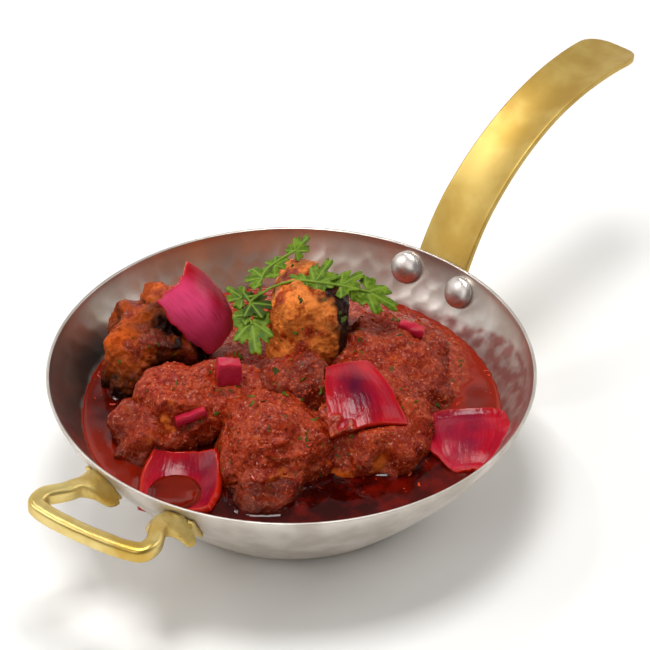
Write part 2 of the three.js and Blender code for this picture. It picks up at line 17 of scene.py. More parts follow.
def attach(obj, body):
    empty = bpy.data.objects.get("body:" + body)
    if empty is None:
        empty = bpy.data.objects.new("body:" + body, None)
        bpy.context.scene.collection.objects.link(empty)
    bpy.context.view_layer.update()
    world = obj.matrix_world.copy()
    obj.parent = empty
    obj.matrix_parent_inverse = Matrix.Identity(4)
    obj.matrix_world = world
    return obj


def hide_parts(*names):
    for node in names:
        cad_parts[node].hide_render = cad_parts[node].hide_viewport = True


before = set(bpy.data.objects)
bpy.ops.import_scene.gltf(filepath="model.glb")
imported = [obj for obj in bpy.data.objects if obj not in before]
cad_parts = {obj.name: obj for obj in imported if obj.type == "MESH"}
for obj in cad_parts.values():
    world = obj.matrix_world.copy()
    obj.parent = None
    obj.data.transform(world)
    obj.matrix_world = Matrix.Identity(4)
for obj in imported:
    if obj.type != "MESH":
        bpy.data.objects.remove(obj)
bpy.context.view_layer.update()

log = logging.getLogger("curry")

MM = 0.001  # one millimetre in the frame's metres
SERVING_TURN = math.radians(-51)  # the food's own left-right axis, about Z
OIL_LEVEL = 30.5
SEAT_GAP = 0.35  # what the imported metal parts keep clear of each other
FAR = 9.0  # further than any neighbouring cell

Array = np.ndarray
Piece = bpy.types.Object
Material = bpy.types.Material
Node = bpy.types.Node
Tree = bpy.types.NodeTree


# ---- numbers and noise ----------------------------------------------------------------------------


def linear(hex_code: str) -> tuple[float, float, float, float]:
    """Turns an sRGB hex colour into linear RGBA.

    Args:
        hex_code: six hex digits.

    Returns:
        Linear red, green, blue and an alpha of 1.
    """
    levels = [int(hex_code[i : i + 2], 16) / 255 for i in (0, 2, 4)]
    return (*[v / 12.92 if v <= 0.04045 else ((v + 0.055) / 1.055) ** 2.4 for v in levels], 1.0)


def ease(value: Array, low: float, high: float) -> Array:
    """Goes smoothly from 0 at low to 1 at high.

    Args:
        value: values to ease.
        low: where the result leaves 0.
        high: where the result reaches 1.

    Returns:
        Eased values from 0 to 1.
    """
    t = np.clip((np.asarray(value, float) - low) / (high - low), 0, 1)
    return t * t * (3 - 2 * t)


def bell(value: Array, width: float, power: int = 2) -> Array:
    """Falls from 1 at 0 towards 0 beyond a width; a higher even power gives a flatter top."""
    return np.exp(-((value / width) ** power))


def grain(points: Array, size: float, seed: int) -> Array:
    """Gives smooth random values, about -1 to 1, with bumps of a given size.

    Args:
        points: places in mm, one row each.
        size: distance between bumps in mm.
        seed: picks the pattern.

    Returns:
        One value for each point.
    """
    scaled = points / size + seed * 17.31
    base = np.floor(scaled).astype(np.int64)
    part = scaled - base
    fade = part**3 * (part * (part * 6 - 15) + 10)
    total = np.zeros(len(points))
    for corner in product((0, 1), repeat=3):
        weight = np.prod(np.where(np.array(corner) == 1, fade, 1 - fade), axis=1)
        total += weight * np.sum(scrambled(base + corner, seed) * (part - corner), axis=1)
    return total * 1.4


def scrambled(places: Array, seed: int) -> Array:
    """Gives three random numbers from -1 to 1 for each whole-numbered place."""
    mixed = places @ np.array([374761393, 668265263, 1440670441]) + seed * 974634777
    mixed = (mixed ^ (mixed >> 13)) * 1274126177 & 0xFFFFFFFF
    mixed ^= mixed >> 15
    return np.stack([mixed & 255, (mixed >> 8) & 255, (mixed >> 16) & 255], 1) / 127.5 - 1


def lumps(points: Array, size: float, seed: int) -> Array:
    """Gives the height of close-packed round lumps of a given size.

    Args:
        points: places in mm.
        size: distance between lumps in mm.
        seed: picks the pattern.

    Returns:
        About 0.5 on a lump's top and -0.5 in the creases between lumps.
    """
    scaled = points / size
    base = np.floor(scaled).astype(np.int64)
    nearest = np.full(len(points), FAR)
    for corner in product((-1, 0, 1), repeat=3):
        centre = base + corner + 0.5 + 0.45 * scrambled(base + corner, seed)
        nearest = np.minimum(nearest, np.sum((scaled - centre) ** 2, axis=1))
    return 0.55 - np.sqrt(nearest)


def masala_relief(points: Array) -> Array:
    """Gives the relief of the masala wherever it lies, in mm."""
    soft = 0.5 * grain(points, 3.2, 31) + 0.8 * grain(points, 6.5, 32) + 0.45 * lumps(points, 3.4, 33)
    return soft + 0.28 * grain(points, 1.7, 34) + 0.18 * grain(points, 1.0, 35)


def layered(points: Array, layers: dict[float, float], seed: int) -> Array:
    """Adds up grain of several sizes.

    Args:
        points: places in mm.
        layers: height in mm for each bump size in mm.
        seed: picks the pattern.

    Returns:
        The sum in mm for each point.
    """
    return sum(height * grain(points, size, seed + i) for i, (size, height) in enumerate(layers.items()))


def seated(points: Array) -> Array:
    """Turns points from the food's own axes to the pan's.

    Args:
        points: places in mm along the food's right, back and up axes.

    Returns:
        The same places in the frame's axes.
    """
    c, s = math.cos(SERVING_TURN), math.sin(SERVING_TURN)
    x, y, z = points.T
    return np.stack([x * c - y * s, x * s + y * c, z], 1)


def smooth_path(points: list[tuple[float, float, float]], count: int) -> Array:
    """Draws a smooth line through points, in steps of even length.

    Args:
        points: the places that the line runs through.
        count: how many places to return.

    Returns:
        Places along the line.
    """
    p = np.array(points, float)
    p = np.vstack([2 * p[0] - p[1], p, 2 * p[-1] - p[-2]])
    knots = np.concatenate([[0], np.cumsum(np.linalg.norm(np.diff(p, axis=0), axis=1) ** 0.5)])
    dense = []
    for i in range(1, len(p) - 2):
        for t in np.linspace(knots[i], knots[i + 1], 24, endpoint=False):
            a = [_between(p, knots, j, j + 1, t) for j in (i - 1, i, i + 1)]
            b0 = a[0] + (a[1] - a[0]) * (t - knots[i - 1]) / (knots[i + 1] - knots[i - 1])
            b1 = a[1] + (a[2] - a[1]) * (t - knots[i]) / (knots[i + 2] - knots[i])
            dense.append(b0 + (b1 - b0) * (t - knots[i]) / (knots[i + 1] - knots[i]))
    dense.append(p[-2])
    return even_steps(np.array(dense), count)


def _between(p: Array, knots: Array, i: int, j: int, t: float) -> Array:
    """Goes from point i to point j in step with their knots."""
    return p[i] + (p[j] - p[i]) * (t - knots[i]) / (knots[j] - knots[i])


def even_steps(line: Array, count: int) -> Array:
    """Places points at even distances along a line.

    Args:
        line: places along the line.
        count: how many places to return.

    Returns:
        The evenly spaced places.
    """
    run = np.concatenate([[0], np.cumsum(np.linalg.norm(np.diff(line, axis=0), axis=1))])
    wanted = np.linspace(0, run[-1], count)
    return np.stack([np.interp(wanted, run, line[:, k]) for k in range(line.shape[1])], 1)


# ---- meshes ---------------------------------------------------------------------------------------


def make_piece(name: str, points: Array, faces: list, values: dict[str, Array] | None = None) -> Piece:
    """Makes a smooth mesh object from points in mm.

    Args:
        name: the piece's name.
        points: places in mm in the frame.
        faces: corner numbers of each face.
        values: named numbers for each point, for its finish.

    Returns:
        The new piece.
    """
    mesh = bpy.data.meshes.new(name)
    mesh.from_pydata((points * MM).tolist(), [], faces)
    for key, numbers in (values or {}).items():
        set_values(mesh, key, numbers)
    piece = bpy.data.objects.new(name, mesh)
    bpy.context.scene.collection.objects.link(piece)
    tidy_mesh(piece)
    return piece


def tidy_mesh(piece: Piece) -> None:
    """Merges doubled points, turns the faces outwards and shades them smooth."""
    work = bmesh.new()
    work.from_mesh(piece.data)
    bmesh.ops.remove_doubles(work, verts=work.verts, dist=0.002 * MM)
    bmesh.ops.dissolve_degenerate(work, edges=work.edges, dist=0.0005 * MM)
    bmesh.ops.recalc_face_normals(work, faces=work.faces)
    for face in work.faces:
        face.smooth = True
    work.to_mesh(piece.data)
    work.free()
    piece.data.update()


def set_values(mesh: bpy.types.Mesh, key: str, numbers: Array) -> None:
    """Stores one number, or one vector, for each point of a mesh."""
    numbers = np.asarray(numbers, np.float32)
    kind, slot_name = ("FLOAT_VECTOR", "vector") if numbers.ndim == 2 else ("FLOAT", "value")
    layer = mesh.attributes.get(key) or mesh.attributes.new(key, kind, "POINT")
    layer.data.foreach_set(slot_name, numbers.ravel())


def read_points(mesh: bpy.types.Mesh) -> tuple[Array, Array]:
    """Reads a mesh's points in mm and their outward directions.

    Args:
        mesh: the mesh to read.

    Returns:
        Places in mm, and unit normals.
    """
    places = np.zeros(len(mesh.vertices) * 3)
    normals = np.zeros(len(mesh.vertices) * 3)
    mesh.vertices.foreach_get("co", places)
    mesh.vertex_normals.foreach_get("vector", normals)
    return places.reshape(-1, 3) / MM, normals.reshape(-1, 3)


def write_points(mesh: bpy.types.Mesh, points: Array) -> None:
    """Moves a mesh's points to places given in mm."""
    mesh.vertices.foreach_set("co", (points * MM).ravel())
    mesh.update()


def dress(piece: Piece, material: Material, slot: str, *nodes: str) -> Piece:
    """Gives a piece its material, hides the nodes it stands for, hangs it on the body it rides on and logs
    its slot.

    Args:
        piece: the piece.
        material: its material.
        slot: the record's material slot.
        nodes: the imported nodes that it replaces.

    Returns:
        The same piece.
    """
    piece.data.materials.clear()
    piece.data.materials.append(material)
    if nodes:
        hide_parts(*nodes)
    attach(piece, "root")
    triangles = sum(len(face.vertices) - 2 for face in piece.data.polygons)
    stands_for = ", ".join(nodes) or "nothing"
    log.info("%s: %d triangles, slot %s, stands for %s", piece.name, triangles, slot, stands_for)
    return piece


def spun(profile: Array, segments: int) -> tuple[Array, list]:
    """Spins a profile about Z into a closed mesh.

    Args:
        profile: rows of radius and height in mm; the first and last row lie on the axis.
        segments: steps round the axis.

    Returns:
        Points in mm and faces.
    """
    turn = np.linspace(0, 2 * math.pi, segments, endpoint=False)
    rings = profile[1:-1]
    points = np.stack(
        [
            np.outer(rings[:, 0], np.cos(turn)).ravel(),
            np.outer(rings[:, 0], np.sin(turn)).ravel(),
            np.repeat(rings[:, 1], segments),
        ],
        1,
    )
    points = np.vstack([points, [0, 0, profile[0, 1]], [0, 0, profile[-1, 1]]])
    return points, ring_faces(len(rings), segments)


def ring_faces(rings: int, sides: int) -> list:
    """Joins rings of points into quads, and both end rings to the two middle points that follow them all.

    Args:
        rings: how many rings.
        sides: points in each ring.

    Returns:
        The faces.
    """
    index = np.arange(rings * sides).reshape(rings, sides)
    following = np.roll(index, -1, axis=1)
    quads = np.stack([index[:-1], following[:-1], following[1:], index[1:]], -1)
    first, last = index.size, index.size + 1
    faces = quads.reshape(-1, 4).tolist()
    for i, j in zip(range(sides), following[0].tolist()):
        faces.append([first, j, i])
        faces.append([last, int(index[-1, i]), int(index[-1, j])])
    return faces


def net_faces(index: Array) -> Array:
    """Joins a net of point numbers into quads."""
    return np.stack([index[:-1, :-1], index[1:, :-1], index[1:, 1:], index[:-1, 1:]], -1).reshape(-1, 4)


def net_border(index: Array) -> Array:
    """Walks once round the outline of a net of point numbers."""
    return np.concatenate([index[0, :-1], index[:-1, -1], index[-1, :0:-1], index[:0:-1, 0]])


@dataclass(frozen=True)
class Section:
    """The cross-section of a bar, in mm."""

    half_width: float
    half_height: float
    square: float  # 2 for an ellipse, more for a box
    edge_lift: float = 0.0  # how far its sides lie above its middle

    def ring(self, sides: int) -> Array:
        """Places points at even distances round the section.

        Args:
            sides: how many points.

        Returns:
            Rows of side and rise in mm.
        """
        turn = np.linspace(0, 2 * math.pi, 721)
        side = np.sign(np.cos(turn)) * np.abs(np.cos(turn)) ** (2 / self.square)
        rise = np.sign(np.sin(turn)) * np.abs(np.sin(turn)) ** (2 / self.square)
        line = np.stack([side * self.half_width, rise * self.half_height], 1)
        line = even_steps(line, sides + 1)[:-1]
        line[:, 1] += self.edge_lift * (line[:, 0] / self.half_width) ** 2
        return line


def swept(path: Array, sections: Callable[[float], Section], sides: int, level: bool) -> tuple[Array, list]:
    """Sweeps a section along a path into a closed bar.

    Args:
        path: places in mm along the bar's middle.
        sections: gives the section for the share of the way along.
        sides: points round the section.
        level: True keeps the section's width along Y, and False keeps it level across the path.

    Returns:
        Points in mm and faces.
    """
    forward = np.gradient(path, axis=0)
    forward /= np.linalg.norm(forward, axis=1)[:, None]
    points = []
    for i, middle in enumerate(path):
        across = np.array([0.0, 1.0, 0.0]) if level else np.cross([0, 0, 1], forward[i])
        across /= np.linalg.norm(across)
        up = np.cross(forward[i], across)
        ring = sections(i / (len(path) - 1)).ring(sides)
        points.append(middle + ring[:, :1] * across + ring[:, 1:] * up)
    return np.vstack([*points, points[0].mean(0), points[-1].mean(0)]), ring_faces(len(path), sides)


@dataclass(frozen=True)
class Slab:
    """A closed slab with rounded edges: across and along run from -0.5 to 0.5, and lift is in mm."""

    columns: int
    rows: int
    width: float
    length: float
    thick: float
    edge: float  # how far in from its outline the slab reaches its full thickness

    def build(self) -> tuple[Array, Array, Array, Array, list]:
        """Lays out the slab's two skins.

        Returns:
            Across, along, lift in mm, distance in mm from the outline, and faces.
        """
        u, v = np.meshgrid(self._spread(self.columns), self._spread(self.rows), indexing="ij")
        inset = np.minimum((0.5 - np.abs(u)) * self.width, (0.5 - np.abs(v)) * self.length)
        lift = self.thick / 2 * np.sqrt(1 - (1 - np.clip(inset / self.edge, 0, 1)) ** 2)
        index = np.arange(u.size).reshape(u.shape)
        quads = net_faces(index)
        faces = quads.tolist() + (quads[:, ::-1] + u.size).tolist()
        twice = [np.concatenate([a.ravel(), a.ravel()]) for a in (u, v, inset)]
        return twice[0], twice[1], np.concatenate([lift.ravel(), -lift.ravel()]), twice[2], faces

    @staticmethod
    def _spread(count: int) -> Array:
        """Steps from -0.5 to 0.5 that are finer near both ends."""
        t = np.linspace(-1, 1, count)
        return 0.5 * (0.45 * t + 0.55 * np.sin(math.pi / 2 * t))


# ---- finishes -------------------------------------------------------------------------------------


class Kind(Enum):
    """The kinds of shader node that the finishes are made of."""

    ATTRIBUTE = "ShaderNodeAttribute"
    BUMP = "ShaderNodeBump"
    COORDINATES = "ShaderNodeTexCoord"
    MAPPING = "ShaderNodeMapping"
    MATH = "ShaderNodeMath"
    MIX = "ShaderNodeMixRGB"
    NOISE = "ShaderNodeTexNoise"
    OUTPUT = "ShaderNodeOutputMaterial"
    PRINCIPLED = "ShaderNodeBsdfPrincipled"
    RANGE = "ShaderNodeMapRange"
    SEPARATE = "ShaderNodeSeparateXYZ"
    VECTOR_MATH = "ShaderNodeVectorMath"


SMOOTH = {"interpolation_type": "SMOOTHSTEP"}


def add_node(tree: Tree, kind: Kind, inputs: dict | None = None, **settings) -> Node:
    """Adds a node with its settings and links.

    Args:
        tree: the node tree.
        kind: the kind of node.
        inputs: for each input's name or number, a value, a hex colour, or the node or socket to link.
        settings: the node's own properties.

    Returns:
        The new node.
    """
    made = tree.nodes.new(kind.value)
    for key, value in settings.items():
        setattr(made, key, value)
    for key, value in (inputs or {}).items():
        if isinstance(value, str):
            value = linear(value)
        if isinstance(value, Node):
            value = value.outputs[0]
        if isinstance(value, bpy.types.NodeSocket):
            tree.links.new(value, made.inputs[key])
        else:
            made.inputs[key].default_value = value
    return made


@dataclass(frozen=True)
class Finish:
    """A material: its common name, and the nodes that give its surface."""

    name: str

    def material(self) -> Material:
        """Builds the material.

        Returns:
            A material with its node tree.
        """
        made = bpy.data.materials.new(self.name)
        made.use_nodes = True
        tree = made.node_tree
        tree.nodes.clear()
        own = add_node(tree, Kind.COORDINATES).outputs["Object"]
        place = add_node(tree, Kind.MAPPING, {"Vector": own, "Scale": [1 / MM] * 3})
        shader = add_node(tree, Kind.PRINCIPLED, self.surface(tree, place))
        add_node(tree, Kind.OUTPUT, {"Surface": shader})
        return made

    def surface(self, tree: Tree, place: Node) -> dict:
        """Gives the shader's inputs, with patterns laid out by the object's own places in mm."""
        raise NotImplementedError


@dataclass(frozen=True)
class SpunSteel(Finish):
    """Stainless steel sheet, spun to shape, hammered, then brushed: hard and pale, so its reflections stay
    grey and blurred, with fine lines round the pan. Low inside it carries an oily red film, and the same red
    is painted higher up the wall at the food's right as the food's reflection."""

    bright: str = "DAD3CB"
    dull: str = "C2B9AF"
    film_and_reflection: str = "7A1C08"
    roughness: tuple[float, float] = (0.27, 0.37)

    def surface(self, tree: Tree, place: Node) -> dict:
        """Gives the shader's inputs."""
        film_and_reflection, outside = (
            add_node(tree, Kind.ATTRIBUTE, attribute_name=key).outputs["Fac"]
            for key in ("film_and_reflection", "outside")
        )
        cloud = add_node(tree, Kind.NOISE, {"Vector": place, "Scale": 1 / 14, "Detail": 3})
        rings = add_node(tree, Kind.MAPPING, {"Vector": place, "Scale": (0.1, 0.1, 1)})
        # the brushed lines are finer in life
        brushed = add_node(tree, Kind.NOISE, {"Vector": rings, "Scale": 1 / 1.2})
        worn = add_node(tree, Kind.RANGE, {"Value": cloud, "From Min": 0.3, "From Max": 0.7}, **SMOOTH)
        steel = add_node(tree, Kind.MIX, {"Fac": worn, "Color1": self.bright, "Color2": self.dull})
        low, high = self.roughness
        satin = add_node(tree, Kind.RANGE, {"Value": cloud, "From Min": 0.25, "From Max": 0.75, "To Min": low,
                                            "To Max": high})
        return {
            "Base Color": add_node(tree, Kind.MIX, {"Fac": film_and_reflection, "Color1": steel, "Color2": self.film_and_reflection}),
            "Metallic": add_node(tree, Kind.RANGE, {"Value": film_and_reflection, "To Min": 1.0, "To Max": 0.3}),
            "Roughness": add_node(tree, Kind.MATH, {0: outside, 1: 0.24, 2: satin}, operation="MULTIPLY_ADD"),
            "Normal": add_node(tree, Kind.BUMP, {"Height": brushed, "Distance": 0.02 * MM, "Strength": 0.5}),
        }


@dataclass(frozen=True)
class RivetSteel(Finish):
    """Carbon steel wire, cold headed into rivets and tumbled: a pale satin dome with small dull marks."""

    bright: str = "E6DFDA"
    dull: str = "C4BAB2"

    def surface(self, tree: Tree, place: Node) -> dict:
        """Gives the shader's inputs."""
        marks = add_node(tree, Kind.NOISE, {"Vector": place, "Scale": 1 / 2.2, "Detail": 4, "Roughness": 0.6})
        rough = add_node(tree, Kind.RANGE, {"Value": marks, "From Min": 0.3, "From Max": 0.7, "To Min": 0.26,
                                            "To Max": 0.42})
        steel = add_node(tree, Kind.MIX, {"Fac": marks, "Color1": self.bright, "Color2": self.dull})
        return {
            "Base Color": steel,
            "Metallic": 1.0,
            "Roughness": rough,
            "Normal": add_node(tree, Kind.BUMP, {"Height": marks, "Distance": 0.03 * MM, "Strength": 0.5}),
        }


@dataclass(frozen=True)
class Brass(Finish):
    """Yellow brass. Polished on a wheel it is a warm soft mirror; left as sand cast it keeps a grainy skin
    with dark pits and blurs what it reflects."""

    bright: str = "CCB066"
    deep: str = "B8964A"
    pits: str = "5E4216"
    polished: float = 0.54
    rough: float = 0.42

    def surface(self, tree: Tree, place: Node) -> dict:
        """Gives the shader's inputs."""
        cast = add_node(tree, Kind.ATTRIBUTE, attribute_name="cast").outputs["Fac"]
        cloud = add_node(tree, Kind.NOISE, {"Vector": place, "Scale": 1 / 16, "Detail": 3})
        speckle = add_node(tree, Kind.NOISE, {"Vector": place, "Scale": 1 / 1.1, "Detail": 5,
                                              "Roughness": 0.75})
        worn = add_node(tree, Kind.RANGE, {"Value": cloud, "From Min": 0.3, "From Max": 0.7}, **SMOOTH)
        body = add_node(tree, Kind.MIX, {"Fac": worn, "Color1": self.bright, "Color2": self.deep})
        spots = add_node(tree, Kind.RANGE, {"Value": speckle, "From Min": 0.56, "From Max": 0.8}, **SMOOTH)
        pitted = add_node(tree, Kind.MATH, {0: cast, 1: spots}, operation="MULTIPLY")
        grit = add_node(tree, Kind.MATH, {0: cast, 1: speckle}, operation="MULTIPLY")
        return {
            "Base Color": add_node(tree, Kind.MIX, {"Fac": pitted, "Color1": body, "Color2": self.pits}),
            "Metallic": 1.0,
            "Roughness": add_node(
                tree, Kind.RANGE, {"Value": cast, "To Min": self.polished, "To Max": self.rough}
            ),
            "Normal": add_node(tree, Kind.BUMP, {"Height": grit, "Distance": 0.25 * MM, "Strength": 0.7}),
        }


class SauceColour(str, Enum):
    """The colours of the red onion and tomato masala, from its oil to its dry crust, and its painted glints.
    """

    DEEP = "560E02"
    RED = "8E1E06"
    BODY = "A63612"
    PALE = "BE5830"
    PAINTED_GLINT = "E09A82"
    OIL = "220100"
    OIL_THIN = "5C0802"


def masala_paste(tree: Tree, place: Node) -> tuple[Node, Node]:
    """Mottles the paste with its ground onion, tomato and spice, and paints highlight, shade and glints on
    its grit.

    Args:
        tree: the material's node tree.
        place: places in mm.

    Returns:
        The paste's colour, and its grit as a height.
    """
    # ground spice is finer than the smallest of these in life
    broad, ground, grit, glint_noise = (
        add_node(tree, Kind.NOISE, {"Vector": place, "Scale": 1 / size, "Detail": detail, "Roughness": rough})
        for size, detail, rough in ((7, 3, 0.6), (1.7, 3, 0.6), (0.75, 2, 0.6), (1.1, 1, 0.4))
    )
    red = add_node(tree, Kind.RANGE, {"Value": broad, "From Min": 0.35, "From Max": 0.65}, **SMOOTH)
    # painted highlight: paler where the ground noise, which also raises the bump, is high
    light = add_node(tree, Kind.RANGE, {"Value": ground, "From Min": 0.5, "From Max": 0.72}, **SMOOTH)
    # painted shade: deeper red where the ground and grit noise, which also make the bump, are low
    dark, hollow_shade = (
        add_node(tree, Kind.RANGE, {"Value": noise, "From Min": low, "From Max": high, "To Min": most,
                                    "To Max": 0})
        for noise, low, high, most in ((ground, 0.25, 0.46, 1), (grit, 0.3, 0.45, 0.5))
    )
    # painted glints: sparse pale pink spots that stand in for light caught by the wet grains
    shown = add_node(tree, Kind.RANGE, {"Value": glint_noise, "From Min": 0.66, "From Max": 0.76, "To Max": 0.65},
                     **SMOOTH)
    colour = SauceColour.RED
    for amount, over in ((red, SauceColour.BODY), (light, SauceColour.PALE), (dark, SauceColour.DEEP),
                         (hollow_shade, SauceColour.DEEP), (shown, SauceColour.PAINTED_GLINT)):
        colour = add_node(tree, Kind.MIX, {"Fac": amount, "Color1": colour, "Color2": over})
    return colour, add_node(tree, Kind.MATH, {0: ground, 1: 1.4, 2: grit}, operation="MULTIPLY_ADD")


@dataclass(frozen=True)
class Masala(Finish):
    """Onion masala, ground and fried until its red oil leaves it: the paste is wet and grainy, with a soft
    broken shine, and the oil beside it lies flat, dark and clear like varnish."""

    def surface(self, tree: Tree, place: Node) -> dict:
        """Gives the shader's inputs."""
        thick, shallow_and_reflection = (
            add_node(tree, Kind.ATTRIBUTE, attribute_name=key).outputs["Fac"]
            for key in ("thick", "shallow_and_reflection")
        )
        paste, grit = masala_paste(tree, place)
        swirl = add_node(tree, Kind.NOISE, {"Vector": place, "Scale": 1 / 9, "Detail": 4, "Roughness": 0.6})
        thinner = add_node(tree, Kind.RANGE, {"Value": swirl, "From Min": 0.4, "From Max": 0.7}, **SMOOTH)
        colour = SauceColour.OIL
        # the shallow attribute is lighter red where the oil is thin, and a painted reflection on the pool's
        # left
        for amount, over in ((thinner, SauceColour.OIL_THIN), (shallow_and_reflection, SauceColour.RED), (thick, paste)):
            colour = add_node(tree, Kind.MIX, {"Fac": amount, "Color1": colour, "Color2": over})
        height = add_node(tree, Kind.MATH, {0: grit, 1: thick}, operation="MULTIPLY")
        shine = add_node(tree, Kind.RANGE, {"Value": thick, "To Min": 0.36, "To Max": 0.26})
        return {
            "Base Color": colour,
            "Roughness": add_node(tree, Kind.RANGE, {"Value": thick, "To Min": 0.04, "To Max": 0.13}),
            "IOR": 1.4,  # between the oil's 1.47 and the wet paste's
            "Specular IOR Level": shine,  # solids break up the paste's shine
            "Normal": add_node(tree, Kind.BUMP, {"Height": height, "Distance": 0.3 * MM, "Strength": 1.0}),
        }


@dataclass(frozen=True)
class GrilledChicken(Finish):
    """Chicken marinated in red spice and grilled: orange fibrous meat that is rough and half dull, brown
    where it is seared and black where it touched the fire, then turned in wet masala that glints. Its char
    colour also paints shade in its creases, low down and on its right-facing side, and its gold paints
    highlight on its tops."""

    orange: str = "D65A0C"
    gold_and_highlight: str = "F88C3C"
    red: str = "AC3A0A"
    brown: str = "6E2406"
    char_and_shade: str = "220A04"

    def surface(self, tree: Tree, place: Node) -> dict:
        """Gives the shader's inputs."""
        coat, char_and_shade, gold_and_highlight = (
            add_node(tree, Kind.ATTRIBUTE, attribute_name=key).outputs["Fac"]
            for key in ("coat", "char_and_shade", "gold_and_highlight")
        )
        paste, grit = masala_paste(tree, place)
        grown = add_node(tree, Kind.MAPPING, {"Vector": place, "Scale": (1, 1, 0.4)})
        fibre, stain, speck = (
            add_node(tree, Kind.NOISE, {"Vector": laid, "Scale": 1 / size, "Detail": 4, "Roughness": rough})
            for laid, size, rough in ((grown, 1.6, 0.6), (place, 5, 0.6), (place, 1.1, 0.75))
        )
        spiced = add_node(tree, Kind.RANGE, {"Value": stain, "From Min": 0.5, "From Max": 0.68}, **SMOOTH)
        seared = add_node(tree, Kind.RANGE, {"Value": fibre, "From Min": 0.26, "From Max": 0.5,
                                             "To Min": 0.55, "To Max": 0})
        burnt = add_node(tree, Kind.RANGE, {"Value": speck, "From Min": 0.72, "From Max": 0.9, "To Max": 0.4},
                         **SMOOTH)
        # the char attribute carries charring and painted shade, and the gold attribute golden meat and
        # painted highlight
        colour = self.orange
        for amount, over in ((gold_and_highlight, self.gold_and_highlight), (spiced, self.red), (seared, self.brown), (burnt, self.char_and_shade),
                             (coat, paste), (char_and_shade, self.char_and_shade)):
            colour = add_node(tree, Kind.MIX, {"Fac": amount, "Color1": colour, "Color2": over})
        shine = add_node(tree, Kind.RANGE, {"Value": coat, "To Min": 0.15, "To Max": 0.26})
        return {
            "Base Color": colour,
            "Roughness": add_node(tree, Kind.RANGE, {"Value": coat, "To Min": 0.34, "To Max": 0.12}),
            "IOR": 1.38,
            "Specular IOR Level": shine,  # bare fibres break it up
            "Subsurface Weight": 0.12,
            "Subsurface Radius": (1.0, 0.35, 0.2),
            "Subsurface Scale": 1.2 * MM,
            "Normal": add_node(tree, Kind.BUMP, {"Height": grit, "Distance": 0.3 * MM, "Strength": 1.0}),
        }


@dataclass(frozen=True)
class OnionFlesh(Finish):
    """Red onion cut from the bulb and softened in hot oil: a smooth wet magenta skin that mirrors the room
    over faint veins, with thick translucent cut edges stained orange-red. A pale pink highlight and a dark
    purple shade are painted on each petal."""

    skin: str = "B00212"
    light: str = "9C0420"
    pale: str = "E44878"
    dark: str = "4E0624"
    edge: str = "B01A08"
    spot: str = "8C0420"

    def surface(self, tree: Tree, place: Node) -> dict:
        """Gives the shader's inputs."""
        rim, painted_shade, pale, crust = (
            add_node(tree, Kind.ATTRIBUTE, attribute_name=key).outputs["Fac"]
            for key in ("rim", "painted_shade", "pale", "crust")
        )
        layout = add_node(tree, Kind.ATTRIBUTE, attribute_name="layout").outputs["Vector"]
        along = add_node(tree, Kind.MAPPING, {"Vector": layout, "Scale": (1, 0.07, 1)})
        veins = add_node(tree, Kind.NOISE, {"Vector": along, "Scale": 1 / 0.9, "Roughness": 0.6})
        cloud = add_node(tree, Kind.NOISE, {"Vector": layout, "Scale": 1 / 8})
        paste, grit = masala_paste(tree, place)
        tone = add_node(tree, Kind.RANGE, {"Value": cloud, "From Min": 0.3, "From Max": 0.7}, **SMOOTH)
        streaks = add_node(tree, Kind.RANGE, {"Value": veins, "From Min": 0.5, "From Max": 0.25,
                                              "To Max": 0.16})
        lines = add_node(tree, Kind.RANGE, {"Value": veins, "From Min": 0.52, "From Max": 0.75,
                                            "To Max": 0.45}, **SMOOTH)
        colour = self.skin
        for amount, over in ((tone, self.light), (pale, self.pale), (streaks, self.pale), (lines, self.spot),
                             (painted_shade, self.dark), (rim, self.edge), (crust, paste)):
            colour = add_node(tree, Kind.MIX, {"Fac": amount, "Color1": colour, "Color2": over})
        ridges = add_node(tree, Kind.MATH, {0: veins, 1: grit}, operation="ADD")
        return {
            "Base Color": colour,
            "Roughness": add_node(tree, Kind.RANGE, {"Value": crust, "To Min": 0.13, "To Max": 0.3}),
            "IOR": 1.36,
            "Specular IOR Level": 0.38,  # softened by the film of sauce
            "Subsurface Weight": 0.2,
            "Subsurface Radius": (1.0, 0.3, 0.35),
            "Subsurface Scale": 1.5 * MM,
            "Normal": add_node(tree, Kind.BUMP, {"Height": ridges, "Distance": 0.1 * MM, "Strength": 0.6}),
        }


@dataclass(frozen=True)
class CorianderLeaf(Finish):
    """Coriander, fresh picked: thin leaf with a waxy but nearly matt skin, mid green with yellower veins;
    once it is cooked in the sauce it goes dark olive."""

    green: str = "466208"
    young: str = "6C8614"
    dark: str = "243A08"
    vein: str = "7A9430"

    def surface(self, tree: Tree, place: Node) -> dict:
        """Gives the shader's inputs."""
        vein, shade = (
            add_node(tree, Kind.ATTRIBUTE, attribute_name=key).outputs["Fac"]
            for key in ("vein", "shade")
        )
        cloud = add_node(tree, Kind.NOISE, {"Vector": place, "Scale": 1 / 2.5, "Detail": 3, "Roughness": 0.6})
        tone = add_node(tree, Kind.RANGE, {"Value": cloud, "From Min": 0.35, "From Max": 0.65}, **SMOOTH)
        colour = self.green
        # the shade attribute paints darker green on leaves lying in shadow; on scattered bits it is their own
        # random tone
        for amount, over in ((tone, self.young), (shade, self.dark), (vein, self.vein)):
            colour = add_node(tree, Kind.MIX, {"Fac": amount, "Color1": colour, "Color2": over})
        return {
            "Base Color": colour,
            "Roughness": 0.5,
            "IOR": 1.35,
            "Specular IOR Level": 0.3,
            "Subsurface Weight": 0.15,
            "Subsurface Radius": (0.4, 1.0, 0.1),
            "Subsurface Scale": 0.6 * MM,
            "Normal": add_node(tree, Kind.BUMP, {"Height": cloud, "Distance": 0.1 * MM, "Strength": 0.5}),
        }


